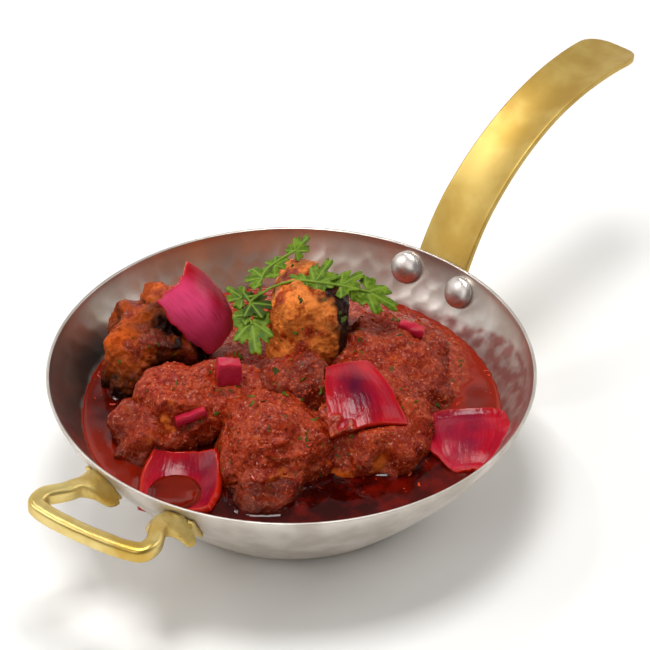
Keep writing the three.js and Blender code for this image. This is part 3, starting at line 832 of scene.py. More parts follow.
@dataclass(frozen=True)
class ChilliSkin(Finish):
    """Shreds of chilli and tomato skin fried in oil: thin, translucent orange-red and shiny wet."""

    red: str = "A81C0A"
    orange: str = "C04014"

    def surface(self, tree: Tree, place: Node) -> dict:
        """Gives the shader's inputs."""
        cloud = add_node(tree, Kind.NOISE, {"Vector": place, "Scale": 1 / 3, "Roughness": 0.6})
        tone = add_node(tree, Kind.RANGE, {"Value": cloud, "From Min": 0.35, "From Max": 0.65}, **SMOOTH)
        return {
            "Base Color": add_node(tree, Kind.MIX, {"Fac": tone, "Color1": self.red, "Color2": self.orange}),
            "Roughness": 0.2,
            "IOR": 1.45,
            "Normal": add_node(tree, Kind.BUMP, {"Height": cloud, "Distance": 0.1 * MM, "Strength": 0.5}),
        }


@dataclass(frozen=True)
class StudioPaper(Finish):
    """White paper, pressed matt on its roll: almost no shine and a barely uneven tone."""

    white: str = "FAF9F7"
    off_white: str = "F6F5F2"

    def surface(self, tree: Tree, place: Node) -> dict:
        """Gives the shader's inputs."""
        cloud = add_node(tree, Kind.NOISE, {"Vector": place, "Scale": 1 / 300, "Detail": 1})
        return {
            "Base Color": add_node(
                tree, Kind.MIX, {"Fac": cloud, "Color1": self.white, "Color2": self.off_white}
            ),
            "Roughness": 0.9,
            "Specular IOR Level": 0.1,
        }


# ---- studio ---------------------------------------------------------------------------------------


@dataclass(frozen=True)
class Softbox:
    """A square light: its direction from the pan, distance and width in mm, and how bright it looks."""

    name: str
    azimuth: float  # degrees from straight behind the pan, towards the right
    elevation: float
    distance: float
    width: float
    glow: float
    tint: str = "FFFFFF"


def heading(azimuth: float, elevation: float) -> Vector:
    """Gives the direction from the pan at an azimuth from the frame's front and an elevation, in degrees."""
    a, e = math.radians(azimuth), math.radians(elevation)
    return Vector((math.sin(a) * math.cos(e), -math.cos(a) * math.cos(e), math.sin(e)))


@dataclass
class Studio:
    """Camera, soft lights, grey surroundings and a white floor."""

    azimuth: float = -51.0
    elevation: float = 36.81
    distance: float = 1800.0
    aim: tuple[float, float] = (12.30, 16.31)  # right of and above the middle of the rim, in the view
    lens: float = 272.06
    rim_height: float = 50.0
    sweep_glow: float = 0.9  # how bright the paper sweep behind the pan looks
    room_glow: float = 0.24  # and the rest of the room
    sweep_top: float = 37.3  # how high the sweep reaches, in degrees
    sweep_edge: tuple[float, float] = (-0.003, 0.014)  # where its soft edge starts and ends about its top
    floor_half: float = 3000.0
    floor_drop: float = 0.05
    lights: list[Softbox] = field(
        default_factory=lambda: [
            Softbox("softbox_top", -20, 86, 1200, 450, 13.2),
            Softbox("lamp_back", -38, 58, 1250, 80, 62),
            Softbox("softbox_left", -95, 40, 1100, 560, 2.4),
            Softbox("softbox_right", 80, 40, 1200, 600, 1.6),
            Softbox("softbox_front", -150, 40, 1300, 520, 2.5),
        ]
    )

    def build(self) -> None:
        """Sets up the studio."""
        self._camera()
        for light in self.lights:
            self._light(light)
        self._surroundings()
        self._floor()
        bpy.context.scene.view_settings.view_transform = "Standard"

    def _camera(self) -> None:
        """Adds the camera."""
        back, right = heading(self.azimuth, self.elevation), heading(self.azimuth + 90, 0)
        up = back.cross(right)
        aim = Vector((0, 0, self.rim_height)) + right * self.aim[0] + up * self.aim[1]
        data = bpy.data.cameras.new("camera")
        data.lens = self.lens
        data.sensor_width = 36
        camera = bpy.data.objects.new("camera", data)
        bpy.context.scene.collection.objects.link(camera)
        turn = Matrix((right, up, back)).transposed().to_4x4()
        camera.matrix_world = Matrix.Translation((aim + back * self.distance) * MM) @ turn
        bpy.context.scene.camera = camera

    def _light(self, light: Softbox) -> None:
        """Adds one soft light."""
        towards = heading(self.azimuth - light.azimuth + 180, light.elevation)
        data = bpy.data.lights.new(light.name, "AREA")
        data.shape = "SQUARE"
        data.size = light.width * MM
        data.energy = light.glow * math.pi * (light.width * MM) ** 2
        data.color = linear(light.tint)[:3]
        lamp = bpy.data.objects.new(light.name, data)
        bpy.context.scene.collection.objects.link(lamp)
        lamp.rotation_euler = towards.to_track_quat("Z", "Y").to_euler()
        lamp.location = towards * light.distance * MM

    def _surroundings(self) -> None:
        """Lights the room, brightest behind the pan."""
        world = bpy.data.worlds.new("room")
        world.use_nodes = True
        tree = world.node_tree
        direction = add_node(tree, Kind.COORDINATES).outputs["Generated"]
        away = {0: direction, 1: heading(self.azimuth + 180, 0)}
        towards = add_node(tree, Kind.VECTOR_MATH, away, operation="DOT_PRODUCT").outputs["Value"]
        height = add_node(tree, Kind.SEPARATE, {0: direction}).outputs["Z"]
        top = math.sin(math.radians(self.sweep_top))
        behind = add_node(tree, Kind.RANGE, {"Value": towards, "From Min": -0.35, "From Max": 0.35}, **SMOOTH)
        low, high = (top + edge for edge in self.sweep_edge)
        below = add_node(tree, Kind.RANGE, {"Value": height, "From Min": low, "From Max": high, "To Min": 1,
                                            "To Max": 0}, **SMOOTH)
        sweep = add_node(tree, Kind.MATH, {0: behind, 1: below}, operation="MULTIPLY")
        glows = {"To Min": self.room_glow, "To Max": self.sweep_glow}
        glow = add_node(tree, Kind.RANGE, {"Value": sweep, **glows})
        tree.links.new(glow.outputs[0], tree.nodes["Background"].inputs["Strength"])
        tree.nodes["Background"].inputs["Color"].default_value = linear("FFFFFF")
        bpy.context.scene.world = world

    def _floor(self) -> None:
        """Lays the floor under the pan."""
        half, low = self.floor_half, -self.floor_drop
        corners = np.array([[-half, -half, low], [half, -half, low], [half, half, low], [-half, half, low]])
        floor = make_piece("floor", corners, [[0, 1, 2, 3]])
        floor.data.materials.append(StudioPaper("studio_paper").material())


# ---- pan ------------------------------------------------------------------------------------------


@dataclass
class Pan:
    """The spun steel pan, hammered inside and out."""

    rim_radius: float = 90.0
    height: float = 50.0
    base_radius: float = 49.1  # where the wall's curve would meet the floor
    wall_power: float = 1.33
    flat_radius: float = 44.4
    corner_radius: float = 12.0
    corner_turn: float = 42.0
    wall: float = 1.2
    segments: int = 620
    wall_steps: int = 58
    dimple_radius: float = 80.0  # where the marks are as wide as they are high
    dimple_pitch: float = 7.8
    dimple_depth: float = 0.19
    film_and_reflection_reaches: tuple = (  # where sauce ran up inside, and where the food's reflection is painted: angle and half width in radians, height in mm
        (math.radians(-170), 0.45, 4.5),
        (math.radians(60), 0.6, 1.8),
        # painted reflection: the food's reddish reflection high on the wall to its right
        (SERVING_TURN, 0.6, 15.0),
    )
    seed: int = 40

    def radius(self, z: Array) -> Array:
        """Gives the outside radius of the wall at a height."""
        depth = np.clip((self.height - np.asarray(z, float)) / self.height, 0, 1)
        return self.base_radius + (self.rim_radius - self.base_radius) * (1 - depth**self.wall_power)

    def lean(self, z: Array) -> Array:
        """Gives the angle of the wall's outward direction below the horizontal."""
        step = 0.5
        return np.arctan2(self.radius(z + step) - self.radius(z - step), 2 * step)

    def inner_radius(self, z: Array) -> Array:
        """Gives the inside radius of the wall at a height."""
        return self.radius(z) - self.wall / np.cos(self.lean(z))

    def place(self, angle: Array, z: Array, out: Array) -> Array:
        """Finds points that lie a distance out from the wall's outside.

        Args:
            angle: turn about the pan's axis in radians.
            z: height on the wall in mm.
            out: distance out from it in mm.

        Returns:
            Places in mm.
        """
        reach = self.radius(z) + out * np.cos(self.lean(z))
        return np.stack([reach * np.cos(angle), reach * np.sin(angle), z - out * np.sin(self.lean(z))], 1)

    def _outline(self, offset: float) -> Array:
        """Draws the wall's profile from the flat base to the rim, an offset in from the outside."""
        turn = np.radians(np.linspace(0, self.corner_turn, 8))
        reach = self.corner_radius - offset
        corner = np.stack([reach * np.sin(turn), -reach * np.cos(turn)], 1)
        corner += [self.flat_radius, self.corner_radius]
        z = np.linspace(corner[-1, 1] + 1.5, self.height - 0.45, self.wall_steps)
        wall = np.stack([self.radius(z) - offset / np.cos(self.lean(z)), z], 1)
        return np.vstack([corner, wall])

    def _dimples(self, angle: Array, run: Array) -> Array:
        """Gives the depth of the hammer marks.

        Args:
            angle: turn about the pan's axis in radians.
            run: height on the wall in mm.

        Returns:
            0 at the ridges between marks, 1 at the middle of a mark.
        """
        columns = round(2 * math.pi * self.dimple_radius / self.dimple_pitch)
        row_gap = self.dimple_pitch * 0.72
        across = angle / (2 * math.pi) * columns
        down = run / row_gap
        nearest = np.full(len(angle), FAR)
        for i, j in product((-1, 0, 1), repeat=2):
            row = np.floor(down) + j
            column = np.floor(across - 0.5 * (row % 2)) + i
            wrapped = np.stack([column % columns, row, np.zeros(len(row))], 1)
            sway = grain(wrapped + 0.5, 1.0, self.seed)
            drop = grain(wrapped + 0.5, 1.0, self.seed + 1)
            dx = (column + 0.5 + 0.5 * (row % 2) + 0.5 * sway - across) * self.dimple_pitch
            dz = (row + 0.5 + 0.4 * drop - down) * row_gap
            nearest = np.minimum(nearest, np.hypot(dx, dz))
        return 1 - np.clip(nearest / (0.6 * self.dimple_pitch), 0, 1) ** 2

    def build(self) -> Piece:
        """Spins, hammers and dresses the pan.

        Returns:
            The pan.
        """
        outside, inside = self._outline(0), self._outline(self.wall)[::-1]
        turn = np.radians(np.linspace(20, 160, 7))
        middle = (outside[-1] + inside[0]) / 2
        rim = middle + np.stack([np.cos(turn) * self.wall / 2, np.sin(turn) * 0.42], 1)
        profile = np.vstack([[0, 0], outside, rim, inside, [0, self.wall]])
        points, faces = spun(profile, self.segments)
        angle = np.arctan2(points[:, 1], points[:, 0])
        radius = np.hypot(points[:, 0], points[:, 1])
        z = points[:, 2]
        rank = np.arange(len(points)) // self.segments
        inner = rank >= len(outside) + len(rim) // 2
        marks = self._dimples(angle, z)
        strength = np.where(inner, ease(z, 46, 41) * ease(z, 10, 16), 0.3 * ease(z, 40, 30) * ease(z, 3, 8))
        waves = 0.08 * grain(points, 22, self.seed + 5) * ease(z, 3, 8) * ease(z, 49.4, 47)
        push = self.dimple_depth * strength * (marks - 0.5) + waves
        out = np.where(inner, push, -push)
        lean = self.lean(z)
        points[:, 0] += out * np.cos(lean) * np.cos(angle)
        points[:, 1] += out * np.cos(lean) * np.sin(angle)
        points[:, 2] -= out * np.sin(lean) * (z > 2)
        film_and_reflection = self._film_and_reflection(points, angle, z) * inner * (radius > 1)
        pan = make_piece("serving_pan", points, faces, {"film_and_reflection": film_and_reflection, "outside": 1.0 - inner})
        return dress(pan, SpunSteel("hammered_steel").material(), "pan_steel", "pan")

    def _film_and_reflection(self, points: Array, angle: Array, z: Array) -> Array:
        """Says where oil clings to the inside, as an uneven edge above the gravy, and where the food's
        reflection is painted.
        """
        reach = 0.9 + 1.1 * grain(points, 9, 51) + 0.5 * grain(points, 3, 52)
        for middle, width, rise in self.film_and_reflection_reaches:
            reach += rise * bell(np.angle(np.exp(1j * (angle - middle))), width)
        patchy = ease(grain(points, 5, 53) + 0.4 * grain(points, 2, 54), -0.5, 0.3)
        return ease(OIL_LEVEL + reach - z, -0.5, 1.6) * (0.35 + 0.5 * patchy)


@dataclass(frozen=True)
class Rivet:
    """A domed rivet through the wall: its place across the pan, height, and the sizes of its heads."""

    name: str
    side: float  # -1 or 1 across the handle's middle
    end: float  # +1 on the long handle's side, -1 on the helper's
    spread: float
    height: float
    plate: float
    shank: float
    head: float
    dome: float
    brim: float
    outer: float
    segments: int = 64

    def build(self, pan: Pan, finish: Material) -> Piece:
        """Spins the rivet and sets it through the wall.

        Args:
            pan: the pan that it goes through.
            finish: its material.

        Returns:
            The rivet.
        """
        seat = -pan.wall - SEAT_GAP
        turn = np.linspace(0, math.pi / 2, 15)
        bulge = self.dome - self.brim
        dome = np.stack([self.head * np.sin(turn), seat - self.brim - bulge * np.cos(turn)], 1)
        tail = self.plate + 1.05
        rest = [
            [self.head + 0.05, seat - self.brim * 0.6],
            [self.head - 0.1, seat + 0.25],
            [self.shank, seat + 0.3],
            [self.shank, tail],
            [self.outer - 0.2, tail],
            [self.outer, tail + 0.25],
            [self.outer * 0.8, tail + 1.0],
            [self.outer * 0.4, tail + 1.3],
            [0, tail + 1.4],
        ]
        points, faces = spun(np.vstack([dome, rest]), self.segments)
        points += 0.06 * layered(points, {3.5: 1.0, 1.4: 0.4}, 60)[:, None] * np.array([0.4, 0.4, 1.0])
        y = self.spread * self.side
        angle = math.atan2(y, pan.rim_radius * self.end)
        lean = float(pan.lean(self.height))
        out = Vector((math.cos(angle) * math.cos(lean), math.sin(angle) * math.cos(lean), -math.sin(lean)))
        turned = np.array(Vector((0, 0, 1)).rotation_difference(out).to_matrix())
        middle = pan.place(np.array([angle]), np.array([self.height]), np.array([0.0]))[0]
        piece = make_piece(self.name.replace("rivet", "domed_rivet"), points @ turned.T + middle, faces)
        return dress(piece, finish, "rivet_steel", self.name)


# ---- handles --------------------------------------------------------------------------------------


def wall_plate(pan: Pan, angle: float, low: float, high: float, half_width: float,
               thick: float) -> tuple[Array, list]:
    """Shapes a plate that lies on the outside of the wall.

    Args:
        pan: the pan.
        angle: turn about the pan's axis in radians.
        low: height of its lower edge in mm.
        high: height of its upper edge in mm.
        half_width: half its width in mm.
        thick: its thickness in mm.

    Returns:
        Points in mm and faces.
    """
    across, along, lift, _, faces = Slab(40, 30, 2 * half_width, high - low, thick, 0.9).build()
    z = low + (high - low) * (along + 0.5)
    turn = angle + across * 2 * half_width / pan.rim_radius
    return pan.place(turn, z, lift + thick / 2 + 0.1), faces


def spread(parts: list[tuple[Array, list]], numbers: list) -> Array:
    """Gives each part's own number, or its own numbers, to all of its points."""
    return np.concatenate([np.full(len(part[0]), own) for part, own in zip(parts, numbers)])


def joined(parts: list[tuple[Array, list]]) -> tuple[Array, list]:
    """Puts several meshes' points and faces in one list.

    Args:
        parts: points and faces of each mesh.

    Returns:
        Points in mm and faces of them all.
    """
    points, faces, start = [], [], 0
    for part_points, part_faces in parts:
        points.append(part_points)
        faces.extend([[corner + start for corner in face] for face in part_faces])
        start += len(part_points)
    return np.vstack(points), faces


@dataclass
class LongHandle:
    """The long brass handle: a troughed strip that rises from a riveted foot and curls to a round end."""

    foot_low: float = 30.0
    foot_high: float = 46.5
    foot_half_width: float = 21.0
    foot_thick: float = 2.5
    bend: tuple = ((91.9, 48.0), (112.0, 76.0), (150.0, 98.0), (201.5, 86.0))
    thick: float = 3.4
    trough: float = 2.4
    widths: tuple[float, float, float] = (22.4, 21.2, 22.8)
    tip_round: float = 15.0
    length: float = 168.0
    waist: float = 0.55  # share of the length where it is narrowest

    def _path(self, pan: Pan) -> Array:
        """Draws the strip's middle line."""
        points = [
            (float(pan.radius(z)) + SEAT_GAP + self.thick / 2, 0.0, z - 1)
            for z in (self.foot_low + 3, (self.foot_low + self.foot_high) / 2)
        ]
        a, b, c, d = np.array(self.bend)
        for t in np.linspace(0, 1, 11):
            x, z = a * (1 - t) ** 3 + 3 * b * t * (1 - t) ** 2 + 3 * c * t * t * (1 - t) + d * t**3
            points.append((x, 0.0, z))
        return smooth_path(points, 260)

    def _section(self, along: float) -> Section:
        """Gives the strip's section part of the way along."""
        root, waist, tip = self.widths
        if along < self.waist:
            body = root + (waist - root) * float(ease(along / self.waist, 0, 1))
        else:
            body = waist + (tip - waist) * float(ease((along - self.waist) / 0.4, 0, 1))
        from_tip = min(1.0, (1 - along) * self.length / self.tip_round)
        nose = 0.25 + 0.75 * math.sqrt(1 - (1 - from_tip) ** 2)
        lift = self.trough * float(ease(along, 0.05, 0.3)) * nose**2
        return Section(body / 2 * nose, self.thick / 2, 7, lift)

    def build(self, pan: Pan) -> Piece:
        """Shapes and dresses the handle.

        Args:
            pan: the pan that it is riveted to.

        Returns:
            The handle.
        """
        strip = swept(self._path(pan), self._section, 112, True)
        plate = wall_plate(pan, 0, self.foot_low, self.foot_high, self.foot_half_width, self.foot_thick)
        points, faces = joined([strip, plate])
        points = points + 0.09 * grain(points, 26, 70)[:, None] * np.array([0.5, 0.2, 1.0])
        cast = 0.25 * ease(points[:, 0], 100, 92)
        handle = make_piece("brass_handle", points, faces, {"cast": cast})
        return dress(handle, Brass("polished_brass").material(), "brass", "handle_long")


@dataclass
class HelperHandle:
    """The small cast brass handle: a rounded bar bent in a loop, with a hood over each riveted foot."""

    foot_spread: float = 18.0
    outer_spread: float = 24.5
    reach: float = 117.4
    bow: float = 1.2
    twist: float = 4.5
    bar_height: float = 49.0
    bar_half: float = 3.15
    hood_half_width: float = 9.5
    hood_top: float = 46.8
    hood_drop: float = 8.0
    hood_half_thick: float = 1.6
    hood_length: float = 13.0
    foot_low: float = 33.6
    foot_high: float = 45.0
    foot_half_width: float = 5.8
    foot_thick: float = 2.0
    length: float = 120.0

    def _path(self, pan: Pan) -> Array:
        """Draws the bar's middle line."""
        foot_x = float(pan.radius(self.hood_top)) - 3
        middle = self.hood_top - self.hood_half_thick
        feet = [(foot_x, self.foot_spread, middle), (foot_x + 6, self.foot_spread, middle + 0.6)]
        loop = [
            (foot_x + 15, self.foot_spread + 1.6, self.bar_height - 1.4),
            (self.reach - 7, self.outer_spread - 0.5, self.bar_height),
            (self.reach - 2, self.outer_spread - 1.4, self.bar_height),
            (self.reach, self.outer_spread - 7, self.bar_height),
            (self.reach + self.bow, 0.0, self.bar_height),
        ]
        loop += [(x, -y, z) for x, y, z in reversed(loop[:-1])]
        c, s = math.cos(math.radians(self.twist)), math.sin(math.radians(self.twist))
        turned = [(foot_x + (x - foot_x) * c + y * s, y * c - (x - foot_x) * s, z) for x, y, z in loop]
        points = [*feet, *turned, *[(x, -y, z) for x, y, z in reversed(feet)]]
        return smooth_path([(-x, y, z) for x, y, z in points], 260)

    def _section(self, along: float) -> Section:
        """Gives the bar's section part of the way along."""
        from_foot = min(along, 1 - along) * self.length
        spread = 1 - float(ease(from_foot, 2, self.hood_length + 3))
        return Section(
            self.bar_half + (self.hood_half_width - self.bar_half) * spread,
            self.bar_half + (self.hood_half_thick - self.bar_half) * spread,
            3.2,
            -self.hood_drop * spread,
        )

    def build(self, pan: Pan) -> Piece:
        """Shapes and dresses the handle.

        Args:
            pan: the pan that it is riveted to.

        Returns:
            The handle.
        """
        parts = [swept(self._path(pan), self._section, 64, False)]
        for side in (-1, 1):
            angle = math.pi - math.asin(side * self.foot_spread / float(pan.radius(self.foot_low)))
            foot = (self.foot_low, self.foot_high, self.foot_half_width, self.foot_thick)
            parts.append(wall_plate(pan, angle, *foot))
        points, faces = joined(parts)
        inside = np.hypot(points[:, 0], points[:, 1]) - pan.radius(points[:, 2])
        sunk = inside < 0.1
        shift = (0.1 - inside[sunk]) / np.hypot(points[sunk, 0], points[sunk, 1])
        points[sunk, :2] *= 1 + shift[:, None]
        near_foot = ease(points[:, 0], -106, -96)
        points = points + (0.1 + 0.12 * near_foot[:, None]) * grain(points, 5, 80)[:, None]
        points = points + 0.12 * near_foot[:, None] * grain(points, 1.8, 81)[:, None]
        handle = make_piece("brass_helper", points, faces, {"cast": 0.3 + 0.7 * near_foot})
        brass = Brass("cast_brass", bright="E6D088", deep="C4A04A", polished=0.28)
        return dress(handle, brass.material(), "brass", "handle_helper")


# ---- chicken --------------------------------------------------------------------------------------


def packed_tree(names: list[str]) -> BVHTree:
    """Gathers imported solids, to measure distances to them.

    Args:
        names: the nodes to gather.

    Returns:
        One tree of all their faces.
    """
    points, faces = [], []
    for name in names:
        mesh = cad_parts[name].data
        faces.extend([[len(points) + i for i in face.vertices] for face in mesh.polygons])
        points.extend([v.co.copy() for v in mesh.vertices])
    return BVHTree.FromPolygons(points, faces)


def distances(tree: BVHTree, points: Array) -> Array:
    """Measures how far points in mm lie from the nearest face."""
    return np.array([tree.find_nearest(Vector(p * MM))[3] for p in points]) / MM


class Coating(Enum):
    """How much masala clings to a piece of chicken, added to the noise of its cover."""

    BARE = -0.425
    FULL = 0.55


@dataclass
class ChickenPiece:
    """A piece of grilled chicken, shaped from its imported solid."""

    node: str
    coating: Coating
    seed: int
    gold_and_highlight: float = 0.2  # how yellow its bare meat is; faces turned up get more, as painted highlight
    char_and_shade: float = 0.0  # how much its right-facing side is darkened: charring, and painted shade away from the lights
    chunk: float = 2.4  # how deep the creases between its lumps are
    toast_and_shade: float = 0.0  # how dark it is all over, with painted shade on faces turned down
    torn: float = 1.0  # how rough its bare meat is
    swell: float = 0.0  # how far it stands out all over in mm
    bridge: float = 2.6  # how far the masala fills the gaps to its neighbours in mm
    uneven: float = 1.0  # how far its whole shape wanders
    fold: float = 0.0  # how sharp its long ridges and hollows are in mm
    relax: int = 5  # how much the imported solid's corners are rounded
    voxel: float = 1.7  # size in mm of the even faces that it is made of, before they are cut in four twice

    def build(self, pan: Pan, finish: Material) -> Piece:
        """Evens, swells and dresses the piece.

        Args:
            pan: the pan that it stays inside.
            finish: the material that all pieces share.

        Returns:
            The piece.
        """
        piece = self._evened()
        neighbours = packed_tree([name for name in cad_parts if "chicken" in name and name != self.node])
        onions = packed_tree([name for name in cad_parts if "onion" in name])
        points, normals = read_points(piece.data)
        up = normals[:, 2]
        cover = grain(points, 10, self.seed) + 0.6 * grain(points, 4, self.seed + 1) + 0.25 * up
        coat = ease(cover + self.coating.value, -0.25, 0.25)
        broad = self.uneven * layered(points, {16: 2.2, 8: 1.3}, self.seed + 2)
        swayed = points + 2 * grain(points, 7, self.seed + 3)[:, None]
        chunks = self.chunk * lumps(swayed, 9.5, self.seed + 4)
        ridged = 1 - 2 * np.abs(grain(points * [1, 1, 0.6], 3.8, self.seed + 5))
        folds = self.fold * (0.6 - 2.2 * np.abs(grain(points * [1, 1, 0.7], 15, self.seed + 12)))
        meat = 0.45 * ridged + layered(points, {1.8: 0.35, 1.0: 0.2}, self.seed + 6)
        bridge = self.bridge * np.exp(-distances(neighbours, points) / 2.8)
        swell = self.swell + broad + chunks + folds + bridge + coat * (0.4 + masala_relief(points))
        swell = swell + (1 - coat) * meat * self.torn
        swell = np.minimum(swell, distances(onions, points) + 0.2)
        shaped = points + normals * swell[:, None]
        shaped[:, 2] = np.maximum(shaped[:, 2], pan.wall + 1)
        inwards = (pan.inner_radius(shaped[:, 2]) - 0.5) / np.hypot(shaped[:, 0], shaped[:, 1])
        shaped[:, :2] *= np.minimum(inwards, 1)[:, None]
        write_points(piece.data, shaped)
        # painted shade: darker in the grooves of bare fibres, the creases between lumps and the hollows of
        # folds, mixed into the char colour
        dark = ease(-ridged, 0.0, 0.6) * (1 - coat) * 0.35
        dark = dark + ease(-chunks / max(self.chunk, 0.1), 0.05, 0.4) * 0.45
        dark = dark + ease(-folds / max(self.fold, 0.1), 0.0, 1.0) * 0.4
        self._stain(piece, points, normals, coat, dark * (1 - 0.6 * coat))
        return dress(piece, finish, "chicken", self.node)

    def _stain(self, piece: Piece, points: Array, normals: Array, coat: Array, dark: Array) -> None:
        """Says where it is coated, charred and golden, and where shade and highlight are painted on it."""
        up = normals[:, 2]
        side = normals @ np.array([math.cos(SERVING_TURN), math.sin(SERVING_TURN), 0.25])
        # painted shade, with charring: darker on the side facing the food's right, away from the lights
        burnt = ease(side + 0.5 * grain(points, 5, self.seed + 9), 0.35, 0.9)
        char_and_shade = self.char_and_shade * (burnt + 0.25 * ease(side, -0.3, 0.4))
        set_values(piece.data, "coat", coat)
        # painted shade: darker towards the oil, on the low parts
        low_shade = 0.3 * ease(points[:, 2], OIL_LEVEL + 14, OIL_LEVEL)
        # darker all over, and painted shade on faces turned down
        toast_and_shade = self.toast_and_shade * (1 + 0.7 * grain(points, 8, self.seed + 11) - 0.5 * up)
        set_values(piece.data, "char_and_shade", np.clip(toast_and_shade + low_shade + char_and_shade + dark, 0, 1))
        # painted highlight: more golden on faces turned up
        gold_and_highlight = self.gold_and_highlight + 0.5 * grain(points, 8, self.seed + 10) + 0.3 * up
        set_values(piece.data, "gold_and_highlight", np.clip(gold_and_highlight, 0, 1))

    def _evened(self) -> Piece:
        """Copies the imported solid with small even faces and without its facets."""
        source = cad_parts[self.node]
        piece = bpy.data.objects.new(self.node.replace("chicken", "meat"), source.data.copy())
        bpy.context.scene.collection.objects.link(piece)
        remesh = piece.modifiers.new("even", "REMESH")
        remesh.mode = "VOXEL"
        remesh.voxel_size = self.voxel * MM
        relax = piece.modifiers.new("relax", "SMOOTH")
        relax.factor = 0.5
        relax.iterations = self.relax
        fine = piece.modifiers.new("fine", "SUBSURF")
        fine.levels = fine.render_levels = 2
        shown = piece.evaluated_get(bpy.context.evaluated_depsgraph_get())
        piece.data = bpy.data.meshes.new_from_object(shown)
        piece.modifiers.clear()
        for face in piece.data.polygons:
            face.use_smooth = True
        return piece


BARE, FULL = Coating.BARE, Coating.FULL

CHICKEN = [
    ChickenPiece("chicken_back", BARE, 100, gold_and_highlight=0.95, char_and_shade=0.95, chunk=0.7, relax=2, torn=1.1, fold=0.8),
    ChickenPiece("chicken_left", BARE, 120, gold_and_highlight=-0.4, char_and_shade=0.6, chunk=1.8, toast_and_shade=0.66, torn=2.2, relax=3,
                 uneven=2.2, fold=2.6),
    ChickenPiece("chicken_knuckle", BARE, 140, gold_and_highlight=-0.2, toast_and_shade=0.9, torn=2.0, bridge=3.4, chunk=1.4,
                 fold=1.6),
    ChickenPiece("chicken_front", FULL, 160, swell=-2.6, uneven=1.5, bridge=4.0, toast_and_shade=0.06, fold=1.8),
    ChickenPiece("chicken_tip", FULL, 180, gold_and_highlight=0.1, toast_and_shade=0.5, swell=-2.2, bridge=6.0, fold=1.2),
    ChickenPiece("chicken_ridge", FULL, 200, uneven=1.5, fold=2.6),
    ChickenPiece("chicken_shelf", FULL, 220, toast_and_shade=0.22, uneven=1.5, fold=2.6),
    ChickenPiece("chicken_right", FULL, 240, gold_and_highlight=0.1, chunk=2.8, uneven=1.7, fold=2.4),
    ChickenPiece("chicken_middle", FULL, 260, toast_and_shade=0.62, uneven=1.4, fold=1.5),
    ChickenPiece("chicken_slope", FULL, 280, gold_and_highlight=0.1, toast_and_shade=0.1, fold=1.8),
]


# ---- gravy ----------------------------------------------------------------------------------------


